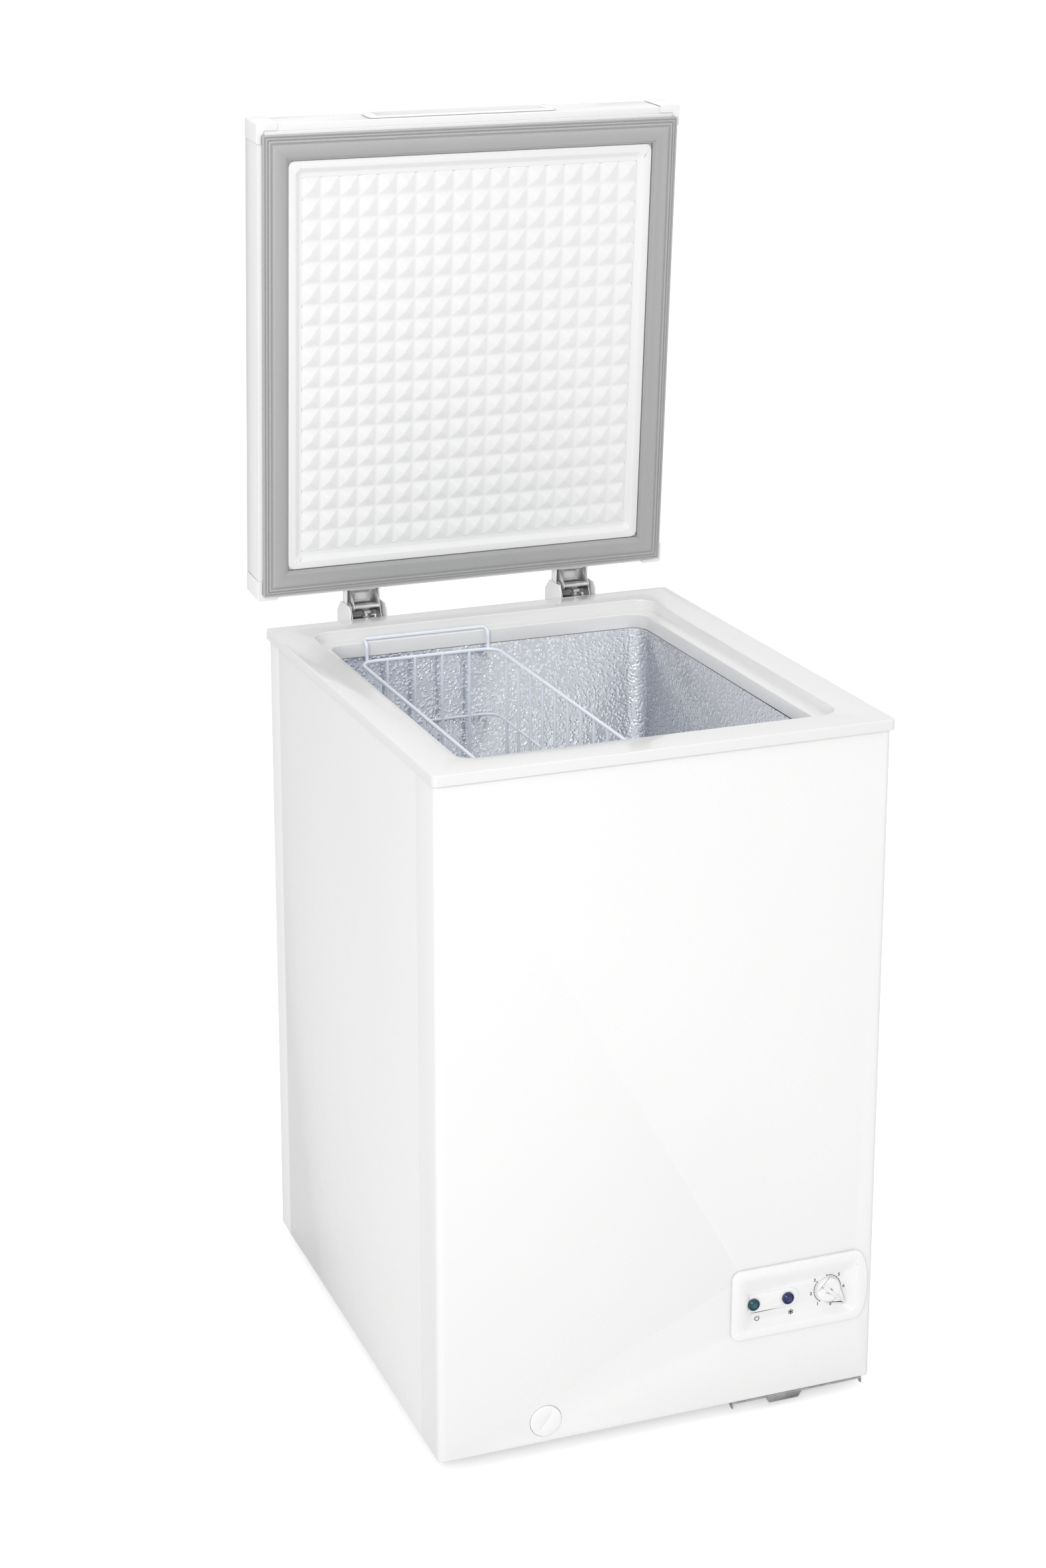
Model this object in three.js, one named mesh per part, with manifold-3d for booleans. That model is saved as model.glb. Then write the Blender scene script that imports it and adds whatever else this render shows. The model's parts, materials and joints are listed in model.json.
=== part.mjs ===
// Chest freezer with a counterbalanced lid, standing open. Millimetres, +Z up, the front faces -Y.
// The cabinet is drawn with x = 0 on its middle plane, y = 0 at the collar's front edge and z = 0 on
// the floor. The last lines centre the whole freezer over the origin.
import * as THREE from 'three'
import { mergeVertices } from 'three/addons/utils/BufferGeometryUtils.js'
import { ConvexGeometry } from 'three/addons/geometries/ConvexGeometry.js'
import Module from 'manifold-3d'

const wasm = await Module()
wasm.setup()

// ---------------------------------------------------------------- driving dimensions

const GAP = 0.3 // between pieces that touch
const SHEET = 1 // steel sheet of the wrap, the pan and the back
const FOOT_HEIGHT = 16

const BODY_WIDTH = 524
const BODY_DEPTH = 582
const BODY_HEIGHT = 785 // from the cabinet's underside to the top of the collar
const BODY_CORNER = 8
const REAR_RETURN = 14 // fold of the wrap behind the back panel

const COLLAR_OVERHANG = 3
const COLLAR_LIP = 12.5 // height of the lip outside the wrap
const COLLAR_WALL = 2.5
const COLLAR_BAND = 42.5 // flat top, from the outer edge to the step
const COLLAR_STEP = 13
const COLLAR_LEDGE = 17
const COLLAR_SKIRT = 18 // wall below the ledge
const COLLAR_CORNER = 6
const STEP_CORNER = 25
const MOUTH_CORNER = 20

const LINER_WALL = 1
const FLOOR_HEIGHT = 65 // tub floor above the cabinet's underside
const BAY_WIDTH = 178 // compressor bay, from the right side
const BAY_HEIGHT = 250
const BAY_WALL_FOAM = 42 // foam between the bay and the tub
const BAY_ROOF_FOAM = 46

const EVAPORATOR_RADIUS = 4
const EVAPORATOR_CLEARANCE = 0.9 // from the tub's wall, which the tube's chords cut into at corners
const EVAPORATOR_TURNS = 5
const EVAPORATOR_TOP = 100 // highest run below the collar's top
const EVAPORATOR_END = 29 // lowest run above the compressor step
const CONDENSER_RADIUS = 2.5
const CONDENSER_RUNS = 4
const CONDENSER_TOP = 120
const CONDENSER_END = 115 // lowest run above the compressor bay
const CONDENSER_BEND = 14

const PLATE = 1.5 // base plate and hinge sheet
const PLATE_INSET_LEFT = 4
const PLATE_INSET_RIGHT = 11
const PLATE_RIM = 12
const PLATE_REAR_INSET = 18
const GUSSET_DROP = 7.5
const GUSSET_DEPTH = 14
const TONGUE_TOP = 46
const TONGUE_BOTTOM = 36
const TONGUE_DROP = 9
const FOOT_RADIUS = 16
const FOOT_INSET = 46

const COMPRESSOR_RADIUS = 58
const COMPRESSOR_HEIGHT = 150
const COMPRESSOR_FROM_BACK = 155
const COMPRESSOR_LEGS_X = 110
const COMPRESSOR_LEGS_Y = 180
const COMPRESSOR_BOLTS_X = 90
const COMPRESSOR_BOLTS_Y = 152
const GROMMET_HEIGHT = 12
const GROMMET_NECK = 7
const LEG_SHEET = 3
const STUB_RADIUS = 4
const STUB_HEIGHT = 12
const STUB_OFFSET = 30
const PIPE_OFFSET_X = 14 // how far the copper pipes step aside before the bay's roof
const PIPE_OFFSET_Y = 22
const DRIER_RADIUS = 9
const DRIER_LENGTH = 90
const DRIER_FROM_FRONT = 300
const CAPILLARY_RADIUS = 1.2
const CAPILLARY_LOOP = 30

const GRILLE_SHEET = 2
const GRILLE_OVERLAP = 12
const GRILLE_SLOTS = 9
const GRILLE_SLOT_HEIGHT = 9
const GLAND_RADIUS = 8
const GLAND_BORE = 3.6

const PANEL_WIDTH = 168
const PANEL_HEIGHT = 84
const PANEL_FROM_RIGHT = 94 // panel centre from the right side of the wrap
const PANEL_CENTRE_Z = 120.5 // above the cabinet's underside
const PANEL_PROUD = 5
const PANEL_CORNER = 11
const PANEL_BULGE = 15
const PANEL_WALL = 2
const RECESS_LEFT = 14 // frame width at each side of the recess
const RECESS_RIGHT = 14
const RECESS_TOP = 12.5
const RECESS_BOTTOM = 9.5
const RECESS_DEPTH = 8
const SLOPE_LEFT = 14
const SLOPE_RIGHT = 10
const SLOPE_TOP = 14
const SLOPE_BOTTOM = 5
const RECESS_CORNER = 6
const LAMP_RADIUS = 7
const LAMP_STEM = 5.5
const LAMP_FROM_LEFT = 28
const LAMP_SPACING = 42.5
const STRIP_RAISE = 3
const STRIP_HEIGHT = 22
const STRIP_END = 84 // right end of the lamp strip from the panel's left edge
const STRIP_DROP = 2.5 // lamp strip's middle line below the panel's middle
const KNOB_FROM_LEFT = 121.7
const KNOB_RADIUS = 14.5
const KNOB_DEPTH = 6.7
const KNOB_NOSE = 25.5
const NOSE_TOP = 0.5 // nose behind the knob's face, front and back
const NOSE_BACK = 2.4
const KNOB_REST = -43 // pointer angle from +X, anticlockwise from the front
const SHAFT_RADIUS = 3
const THERMOSTAT_SIZE = 34
const THERMOSTAT_DEPTH = 40

const DRAIN_FROM_LEFT = 124.5 // from the left side of the wrap
const DRAIN_Z = 25.5 // above the cabinet's underside
const DRAIN_RADIUS = 18.3
const DRAIN_PROUD = 2
const DRAIN_TUBE_RADIUS = 7.2
const DRAIN_TUBE_LENGTH = 64
const DRAIN_BORE = 5.3
const DRAIN_PIPE_RADIUS = 10
const DRAIN_PIPE_BORE = 7.6
const DRAIN_HOLE_Y = 110
const DRAIN_BEND = 16
const PLUG_RADIUS = 13

const LID_OVERHANG = 1 // lid beyond the collar at each side
const LID_SET_BACK = 8 // lid's front face behind the collar's front edge
const LID_THICKNESS = 50
const LID_REAR = 2 // lid's rear face in front of the collar's rear edge
const LID_CORNER = 8
const LID_FLANGE = 12
const LINER_FLANGE_OVERLAP = 4
const LINER_PLATE = 1.2
const LINER_RIM_HEIGHT = 4.5
const LINER_RIM_WIDTH = 9
const LINER_BEVEL = 6
const GASKET_HEIGHT = 9
const GASKET_WIDTH = 31
const GASKET_INSET_SIDE = 4.5
const GASKET_INSET_REAR = 5
const GASKET_INSET_FRONT = 12
const CAP_LENGTH = 26
const CAP_PROUD_SIDE = 1.5
const CAP_PROUD_END = 2.5
const CAP_FACE = 1
const HANDLE_WIDTH = 238
const HANDLE_OFFSET = -8
const HANDLE_HEIGHT = 36
const HANDLE_PROUD = 2.6
const HANDLE_RIM = 12
const HANDLE_WALL = 2
const HANDLE_REACH = 26

const LID_OPEN = 86.2 // degrees from closed to the open stop
const HINGE_BEHIND = 20 // hinge axis behind the collar's rear edge
const HINGE_ABOVE = 8 // hinge axis above the collar's top
const HINGE_FROM_LEFT = 130 // hinge middles from the sides of the wrap
const HINGE_FROM_RIGHT = 116
const BRACKET_HALF = 19.5
const BRACKET_BELOW = 93 // bracket's lower end below the axis
const BRACKET_DEPTH = 27
const ARM_CLEARANCE = 0.8
const ARM_RISE = 11 // web of the arm above the axis, lid closed
const ARM_FLANGE = 41
const EYE_RADIUS = 6.5
const PIN_RADIUS = 4.5
const PIN_CLEARANCE = 0.4
const CRANK_RADIUS = 3
const CRANK_Y = -3.6 // crank bar from the axis, lid closed
const CRANK_Z = -8.8
const ROD_RADIUS = 2.5
const ROD_SLACK = 1.5
const ROD_HEAD = 9 // rod's head, front to back
const SPRING_RADIUS = 6.5
const LUG_BELOW = 88
const ROD_TAIL = 8 // rod below its lug
const ROD_TRAVEL = 12.5 // down, as the lid closes
const COVER_CLEARANCE = 3
const COVER_WALL = 2
const COVER_DEPTH = 32 // cover behind the axis
const HOOD_CLEARANCE = 0.5
const HOOD_RISE = 15
const HOOD_REACH = 9

const BASKET_FROM_LEFT = 37.5 // from the tub's left wall
const BASKET_WIDTH = 176
const BASKET_INSET = 8.5 // rim from the mouth, front and back
const BASKET_RIM_DROP = 35 // rim below the collar's top
const BASKET_HEIGHT = 166
const BASKET_SET_IN = 0.7 // wires set in from the rim's middle line
const BASKET_WIRE = 1.75
const BASKET_RIM_WIRE = 2.2
const BASKET_PITCH = 38

// ---------------------------------------------------------------- shared places

const HALF = BODY_WIDTH / 2
const FRONT = COLLAR_OVERHANG
const BACK = FRONT + BODY_DEPTH
const COLLAR_BACK = BACK + COLLAR_OVERHANG
const BOTTOM = FOOT_HEIGHT
const TOP = BOTTOM + BODY_HEIGHT
const INNER = HALF - SHEET
const WRAP_TOP = TOP - COLLAR_WALL - GAP
const STEP_INSET = COLLAR_BAND
const MOUTH_INSET = COLLAR_BAND + COLLAR_LEDGE
const LEDGE_Z = TOP - COLLAR_STEP
const SKIRT_Z = LEDGE_Z - COLLAR_SKIRT
const TUB_HALF = HALF + COLLAR_OVERHANG - MOUTH_INSET
const TUB_FRONT = MOUTH_INSET
const TUB_BACK = COLLAR_BACK - MOUTH_INSET
const TUB_FLOOR = BOTTOM + FLOOR_HEIGHT
const BAY_X = HALF - BAY_WIDTH
const BAY_TOP = BOTTOM + BAY_HEIGHT
const STEP_X = BAY_X - BAY_WALL_FOAM
const STEP_Z = BAY_TOP + BAY_ROOF_FOAM
const EVAPORATOR_PITCH = (TOP - EVAPORATOR_TOP - STEP_Z - EVAPORATOR_END) / EVAPORATOR_TURNS
const CONDENSER_PITCH = (TOP - CONDENSER_TOP - BAY_TOP - CONDENSER_END) / (CONDENSER_RUNS - 1)
const DRAIN_X = DRAIN_FROM_LEFT - HALF
const BASKET_LEFT = BASKET_FROM_LEFT - TUB_HALF
const BASKET_RIGHT = BASKET_LEFT + BASKET_WIDTH
const HINGES = [['left', HINGE_FROM_LEFT - HALF], ['right', HALF - HINGE_FROM_RIGHT]]
const REAR_FACE = BACK - SHEET - GAP // outside of the back panel
const REAR_INSIDE = REAR_FACE - SHEET - GAP

const PLATE_TOP = BOTTOM - GAP
const PLATE_LEFT = BAY_X + PLATE_INSET_LEFT
const PLATE_RIGHT = HALF - PLATE_INSET_RIGHT
const PLATE_BACK = BACK - PLATE_REAR_INSET
const COMPRESSOR_X = (PLATE_LEFT + PLATE_RIGHT) / 2
const COMPRESSOR_Y = BACK - COMPRESSOR_FROM_BACK
const LEG_Z = PLATE_TOP + GROMMET_HEIGHT
const SHELL_Z = LEG_Z + LEG_SHEET + 4
const STUB_TOP = SHELL_Z + COMPRESSOR_HEIGHT + STUB_HEIGHT

const PANEL_X = HALF - PANEL_FROM_RIGHT
const PANEL_Z = BOTTOM + PANEL_CENTRE_Z
const PANEL_LEFT = PANEL_X - PANEL_WIDTH / 2
const PANEL_FACE = FRONT - PANEL_PROUD
const PANEL_FLOOR = PANEL_FACE + RECESS_DEPTH
const RECESS = {
  left: PANEL_LEFT + RECESS_LEFT,
  right: PANEL_LEFT + PANEL_WIDTH - RECESS_RIGHT,
  bottom: PANEL_Z - PANEL_HEIGHT / 2 + RECESS_BOTTOM,
  top: PANEL_Z + PANEL_HEIGHT / 2 - RECESS_TOP,
}
const STRIP_Z = PANEL_Z - STRIP_DROP
const STRIP_Y = PANEL_FLOOR - STRIP_RAISE
const KNOB_X = PANEL_LEFT + KNOB_FROM_LEFT
const KNOB_Z = STRIP_Z
const LAMP_X = [PANEL_LEFT + LAMP_FROM_LEFT, PANEL_LEFT + LAMP_FROM_LEFT + LAMP_SPACING]

const DRAIN_HEIGHT = BOTTOM + DRAIN_Z

const FLANGE_Z = TOP + GAP + GASKET_HEIGHT + GAP + LINER_PLATE + GAP
const LID_TOP = FLANGE_Z + LID_THICKNESS
const LID_BACK = COLLAR_BACK - LID_REAR
const LID_FRONT = LID_SET_BACK
const LID_HALF = HALF + COLLAR_OVERHANG + LID_OVERHANG
const LINER_Z = FLANGE_Z - GAP - LINER_PLATE
const GASKET_Z = LINER_Z - GAP - GASKET_HEIGHT
const GASKET = {
  half: LID_HALF - GASKET_INSET_SIDE,
  front: LID_FRONT + GASKET_INSET_FRONT,
  back: LID_BACK - GASKET_INSET_REAR,
}
const HANDLE_Z = FLANGE_Z + LID_THICKNESS / 2

const HINGE_Y = COLLAR_BACK + HINGE_BEHIND
const HINGE_Z = TOP + HINGE_ABOVE
const ARM_HALF = BRACKET_HALF - PLATE - ARM_CLEARANCE
const ROD_Y = HINGE_Y - PIN_RADIUS - ROD_HEAD / 2
const OPEN_TURN = THREE.MathUtils.degToRad(LID_OPEN)
const CRANK_OPEN_Z = HINGE_Z - CRANK_Y * Math.sin(OPEN_TURN) + CRANK_Z * Math.cos(OPEN_TURN)
const ROD_TOP = CRANK_OPEN_Z - CRANK_RADIUS - ROD_SLACK

// ---------------------------------------------------------------- materials

const finish = (color, roughness, metalness) =>
  new THREE.MeshStandardMaterial({ color, roughness, metalness })
const whiteSteel = finish(0xededee, 0.35, 0)
const whitePlastic = finish(0xeeeeef, 0.45, 0)
const embossedAluminium = finish(0xb4b9c4, 0.35, 1)
const foam = finish(0xe6dcb4, 0.95, 0)
const galvanised = finish(0xa9acb0, 0.45, 1)
const zinc = finish(0xc8cacc, 0.25, 1)
const copper = finish(0xb87048, 0.35, 1)
const blackPaint = finish(0x1b1c1e, 0.5, 0)
const blackPlastic = finish(0x202224, 0.6, 0)
const rubber = finish(0x2a2b2c, 0.9, 0)
const greyGasket = finish(0xa7a8aa, 0.7, 0)
const coatedWire = finish(0xe9eef6, 0.35, 0)
const greenLens = finish(0x0f6f73, 0.15, 0)
const blueLens = finish(0x1d2f73, 0.15, 0)

// ---------------------------------------------------------------- solids

function signedVolume(positions, index) {
  let volume = 0
  const corner = [new THREE.Vector3(), new THREE.Vector3(), new THREE.Vector3()]
  for (let i = 0; i < index.length; i += 3) {
    corner.forEach((point, k) => point.fromArray(positions, 3 * index[i + k]))
    volume += corner[0].dot(corner[1].clone().cross(corner[2])) / 6
  }
  return volume
}

// A closed three.js geometry as a solid with its faces pointing out.
function solid(geometry) {
  const bare = geometry.clone()
  bare.deleteAttribute('normal')
  bare.deleteAttribute('uv')
  const merged = mergeVertices(bare, 1e-4)
  const positions = merged.attributes.position.array
  const index = []
  for (let i = 0; i < merged.index.count; i += 3) {
    const face = [0, 1, 2].map((k) => merged.index.getX(i + k))
    if (new Set(face).size === 3) index.push(...face)
  }
  if (signedVolume(positions, index) < 0) index.reverse()
  const mesh = new wasm.Mesh({
    numProp: 3,
    vertProperties: new Float32Array(positions),
    triVerts: new Uint32Array(index),
  })
  return new wasm.Manifold(mesh)
}

function geometryOf(body) {
  const mesh = body.getMesh()
  const geometry = new THREE.BufferGeometry()
  geometry.setAttribute('position', new THREE.BufferAttribute(mesh.vertProperties, 3))
  geometry.setIndex(new THREE.BufferAttribute(mesh.triVerts, 1))
  geometry.computeVertexNormals()
  return geometry
}

const join = (pieces) => pieces.reduce((all, piece) => all.add(piece))
const cut = (body, pieces) => pieces.reduce((rest, piece) => rest.subtract(piece), body)

function block(x0, x1, y0, y1, z0, z1) {
  const geometry = new THREE.BoxGeometry(x1 - x0, y1 - y0, z1 - z0)
  return solid(geometry.translate((x0 + x1) / 2, (y0 + y1) / 2, (z0 + z1) / 2))
}

function roundedOutline(a0, a1, b0, b1, radius) {
  const shape = new THREE.Shape()
  shape.absarc(a1 - radius, b0 + radius, radius, -Math.PI / 2, 0)
  shape.absarc(a1 - radius, b1 - radius, radius, 0, Math.PI / 2)
  shape.absarc(a0 + radius, b1 - radius, radius, Math.PI / 2, Math.PI)
  shape.absarc(a0 + radius, b0 + radius, radius, Math.PI, 1.5 * Math.PI)
  return shape
}

const outline = (points) => new THREE.Shape(points.map(([a, b]) => new THREE.Vector2(a, b)))
const extrude = (shape, depth, curveSegments = 4) =>
  new THREE.ExtrudeGeometry(shape, { depth, bevelEnabled: false, curveSegments })

// An outline in x and y, extruded up.
const prismZ = (shape, z0, z1, curveSegments) =>
  solid(extrude(shape, z1 - z0, curveSegments).translate(0, 0, z0))

// An outline in x and z, extruded back.
const prismY = (shape, y0, y1, curveSegments) =>
  solid(extrude(shape, y1 - y0, curveSegments).rotateX(Math.PI / 2).translate(0, y1, 0))

const roundedBlock = (x0, x1, y0, y1, z0, z1, radius) =>
  prismZ(roundedOutline(x0, x1, y0, y1, radius), z0, z1)

// A profile of [radius, height] points turned round an upright axis.
function latheZ(profile, x, y, segments = 16) {
  const points = profile.map(([radius, height]) => new THREE.Vector2(radius, height))
  return solid(new THREE.LatheGeometry(points, segments).rotateX(Math.PI / 2).translate(x, y, 0))
}

// The same round an axis along Y.
function latheY(profile, x, z, segments = 16) {
  const points = profile.map(([radius, height]) => new THREE.Vector2(radius, height))
  return solid(new THREE.LatheGeometry(points, segments).translate(x, 0, z))
}

const rodZ = (radius, x, y, z0, z1, segments) =>
  latheZ([[0, z0], [radius, z0], [radius, z1], [0, z1]], x, y, segments)
const rodY = (radius, x, z, y0, y1, segments) =>
  latheY([[0, y0], [radius, y0], [radius, y1], [0, y1]], x, z, segments)

function rodX(radius, y, z, x0, x1, segments = 16) {
  const geometry = new THREE.CylinderGeometry(radius, radius, x1 - x0, segments)
  return solid(geometry.rotateZ(Math.PI / 2).translate((x0 + x1) / 2, y, z))
}

const hull = (points) => solid(new ConvexGeometry(points.map((p) => new THREE.Vector3(...p))))

// Straight runs between corners, each corner rounded by a short arc of chords.
class Route extends THREE.Curve {
  constructor(corners, bend, chords = 3) {
    super()
    const points = corners.map((p) => new THREE.Vector3(...p))
    this.stops = [points[0]]
    for (let i = 1; i < points.length - 1; i++) this.round(points, i, bend, chords)
    this.stops.push(points.at(-1))
  }

  round(points, i, bend, chords) {
    const corner = points[i]
    const before = points[i - 1].clone().sub(corner)
    const after = points[i + 1].clone().sub(corner)
    const reach = Math.min(bend, before.length() / 2, after.length() / 2)
    before.normalize()
    after.normalize()
    const half = before.angleTo(after) / 2
    const centre = before.clone().add(after).setLength(reach / Math.cos(half)).add(corner)
    const axis = after.clone().cross(before).normalize()
    const spoke = before.setLength(reach).add(corner).sub(centre)
    for (let k = 0; k <= chords; k++) {
      const turn = ((Math.PI - 2 * half) * k) / chords
      this.stops.push(spoke.clone().applyAxisAngle(axis, turn).add(centre))
    }
  }

  getPoint(t, target = new THREE.Vector3()) {
    const place = t * (this.stops.length - 1)
    const i = Math.min(Math.floor(place), this.stops.length - 2)
    return target.lerpVectors(this.stops[i], this.stops[i + 1], place - i)
  }

  getPointAt(u, target) {
    return this.getPoint(u, target)
  }

  getTangent(t, target = new THREE.Vector3()) {
    const i = Math.round(t * (this.stops.length - 1))
    const behind = this.stops[Math.max(i - 1, 0)]
    const here = this.stops[i]
    const ahead = this.stops[Math.min(i + 1, this.stops.length - 1)]
    const arriving = here.clone().sub(behind).normalize()
    return target.copy(ahead).sub(here).normalize().add(arriving).normalize()
  }

  getTangentAt(u, target) {
    return this.getTangent(u, target)
  }
}

function tube(corners, radius, { bend = 0, sides = 8, chords = 3 } = {}) {
  const path = new Route(corners, bend, chords)
  const ring = Array.from({ length: sides }, (_, i) => {
    const angle = (2 * Math.PI * (i + 0.5)) / sides
    return [radius * Math.cos(angle), radius * Math.sin(angle)]
  })
  const options = { steps: path.stops.length - 1, extrudePath: path, bevelEnabled: false }
  return solid(new THREE.ExtrudeGeometry(outline(ring), options))
}

// ---------------------------------------------------------------- the freezer's tree

const freezer = new THREE.Group()
const lid = new THREE.Group()
lid.position.set(0, HINGE_Y, HINGE_Z)
lid.rotation.x = -OPEN_TURN
freezer.add(lid)

function place(group, name, body, material) {
  const mesh = new THREE.Mesh(geometryOf(body), material)
  mesh.name = name
  if (group === lid) mesh.position.set(0, -HINGE_Y, -HINGE_Z)
  group.add(mesh)
}

// ---------------------------------------------------------------- cabinet

// The room inside the wrap, with a gap all round.
function insideWrap(z0, z1, inset = 0, corner = BODY_CORNER - SHEET - GAP) {
  const half = INNER - GAP - inset
  const front = FRONT + SHEET + GAP + inset
  return roundedBlock(-half, half, front, BACK - SHEET - GAP - inset, z0, z1, corner)
}

function cabinetWrap() {
  const corner = BODY_CORNER - SHEET
  const outer = roundedBlock(-HALF, HALF, FRONT, BACK, BOTTOM, WRAP_TOP, BODY_CORNER)
  const inner = roundedBlock(-INNER, INNER, FRONT + SHEET, BACK - SHEET, BOTTOM - 1, TOP, corner)
  const opening = HALF - REAR_RETURN
  const rear = block(-opening, opening, BACK - 2 * SHEET, BACK + 1, BOTTOM - 1, TOP)
  const window = prismY(panelBox(GAP), FRONT - 1, FRONT + SHEET + 1)
  const drain = rodY(DRAIN_RADIUS + GAP, DRAIN_X, DRAIN_HEIGHT, FRONT - 1, FRONT + SHEET + 1, 32)
  return cut(outer, [inner, rear, window, drain])
}

function backPanel() {
  const half = INNER - GAP
  const shape = outline([
    [-half, BOTTOM], [BAY_X, BOTTOM], [BAY_X, BAY_TOP],
    [half, BAY_TOP], [half, WRAP_TOP], [-half, WRAP_TOP],
  ])
  return prismY(shape, REAR_FACE - SHEET, REAR_FACE).intersect(insideWrap(BOTTOM - 1, TOP))
}

// Holes in the bay's roof for the copper tubes.
function roofHoles() {
  const rear = COMPRESSOR_Y - STUB_OFFSET - PIPE_OFFSET_Y
  const apart = STUB_OFFSET + PIPE_OFFSET_X
  return [
    [COMPRESSOR_X - apart, rear],
    [COMPRESSOR_X + apart, rear],
    [BAY_X + CAPILLARY_LOOP, DRIER_FROM_FRONT],
    [BAY_X + 2 * CAPILLARY_LOOP, DRIER_FROM_FRONT],
  ]
}

function bottomPan() {
  const half = INNER - GAP
  const shape = outline([
    [-half, BOTTOM], [BAY_X, BOTTOM], [BAY_X, BAY_TOP], [half, BAY_TOP],
    [half, BAY_TOP + SHEET], [BAY_X - SHEET, BAY_TOP + SHEET],
    [BAY_X - SHEET, BOTTOM + SHEET], [-half, BOTTOM + SHEET],
  ])
  const sheet = prismY(shape, FRONT + SHEET + GAP, REAR_INSIDE).intersect(insideWrap(0, TOP))
  const holes = roofHoles().map(([x, y]) => rodZ(STUB_RADIUS + 1, x, y, BAY_TOP - 1, BAY_TOP + 2, 12))
  return cut(sheet, holes)
}

// The tub's inside, grown by a wall thickness.
function tubRoom(grow, top) {
  const half = TUB_HALF + grow
  const corner = MOUTH_CORNER + grow
  const room = roundedBlock(
    -half, half, TUB_FRONT - grow, TUB_BACK + grow, TUB_FLOOR - grow, top, corner,
  )
  return room.subtract(block(STEP_X + grow, half + 1, 0, BACK, 0, STEP_Z - grow))
}

function innerLiner() {
  const top = SKIRT_Z - GAP
  const hole = rodZ(DRAIN_PIPE_BORE + 1, DRAIN_X, DRAIN_HOLE_Y, TUB_FLOOR - 5, TUB_FLOOR + 5)
  return cut(tubRoom(LINER_WALL, top), [tubRoom(0, top + 1), hole])
}

function collarRing(inset, z0, z1, radius) {
  const half = HALF + COLLAR_OVERHANG - inset
  return roundedBlock(-half, half, inset, COLLAR_BACK - inset, z0, z1, radius)
}

function collar() {
  const wrapRoom = COLLAR_OVERHANG - GAP
  const underTop = TOP - COLLAR_WALL
  const plate = cut(collarRing(0, TOP - COLLAR_LIP, TOP, COLLAR_CORNER), [
    collarRing(wrapRoom, TOP - COLLAR_LIP - 1, underTop, BODY_CORNER + GAP),
  ])
  const ledge = LEDGE_Z - COLLAR_WALL
  const step = collarRing(STEP_INSET - COLLAR_WALL, ledge, TOP, STEP_CORNER + COLLAR_WALL)
  const skirt = collarRing(MOUTH_INSET - COLLAR_WALL, SKIRT_Z, LEDGE_Z, MOUTH_CORNER + COLLAR_WALL)
  return cut(join([plate, step, skirt]), [
    collarRing(STEP_INSET, LEDGE_Z, TOP + 1, STEP_CORNER),
    collarRing(MOUTH_INSET, SKIRT_Z - 1, TOP + 1, MOUTH_CORNER),
  ])
}

// The spiral route of the evaporator round the tub.
function evaporatorTube() {
  const out = LINER_WALL + EVAPORATOR_CLEARANCE + EVAPORATOR_RADIUS
  const half = TUB_HALF + out
  const front = TUB_FRONT - out
  const back = TUB_BACK + out
  const loop = [[-half, back], [-half, front], [half, front], [half, back]]
  const corners = []
  for (let i = 0; i <= 4 * EVAPORATOR_TURNS; i++) {
    const [x, y] = loop[i % 4]
    corners.push([x, y, TOP - EVAPORATOR_TOP - (i * EVAPORATOR_PITCH) / 4])
  }
  corners[0][1] = back - MOUTH_CORNER - out
  corners.at(-1)[0] = MOUTH_CORNER + out - half
  return tube(corners, EVAPORATOR_RADIUS, { bend: MOUTH_CORNER + out, sides: 6, chords: 4 })
}

function evaporatorRoom() {
  const out = LINER_WALL + EVAPORATOR_CLEARANCE + 2 * EVAPORATOR_RADIUS + GAP
  const half = TUB_HALF + out
  const low = TOP - EVAPORATOR_TOP - EVAPORATOR_TURNS * EVAPORATOR_PITCH - 2 * EVAPORATOR_RADIUS
  const high = TOP - EVAPORATOR_TOP + 2 * EVAPORATOR_RADIUS
  return roundedBlock(-half, half, TUB_FRONT - out, TUB_BACK + out, low, high, MOUTH_CORNER + out)
}

// The condenser runs round both sides and the front, just inside the wrap.
function condenserTube() {
  const inset = SHEET + GAP + CONDENSER_RADIUS
  const half = HALF - inset
  const front = FRONT + inset
  const back = BACK - 2 * CONDENSER_BEND
  const corners = []
  for (let run = 0; run < CONDENSER_RUNS; run++) {
    const z = TOP - CONDENSER_TOP - run * CONDENSER_PITCH
    const side = run % 2 ? half : -half
    corners.push([side, back, z], [side, front, z], [-side, front, z], [-side, back, z])
  }
  return tube(corners, CONDENSER_RADIUS, { bend: CONDENSER_BEND, sides: 6 })
}

function condenserRoom() {
  const high = TOP - CONDENSER_TOP + 3 * CONDENSER_RADIUS
  const low = TOP - CONDENSER_TOP - (CONDENSER_RUNS - 1) * CONDENSER_PITCH - 3 * CONDENSER_RADIUS
  const depth = 2 * CONDENSER_RADIUS + GAP
  return insideWrap(low, high).subtract(insideWrap(low - 1, high + 1, depth, CONDENSER_BEND))
}

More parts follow.
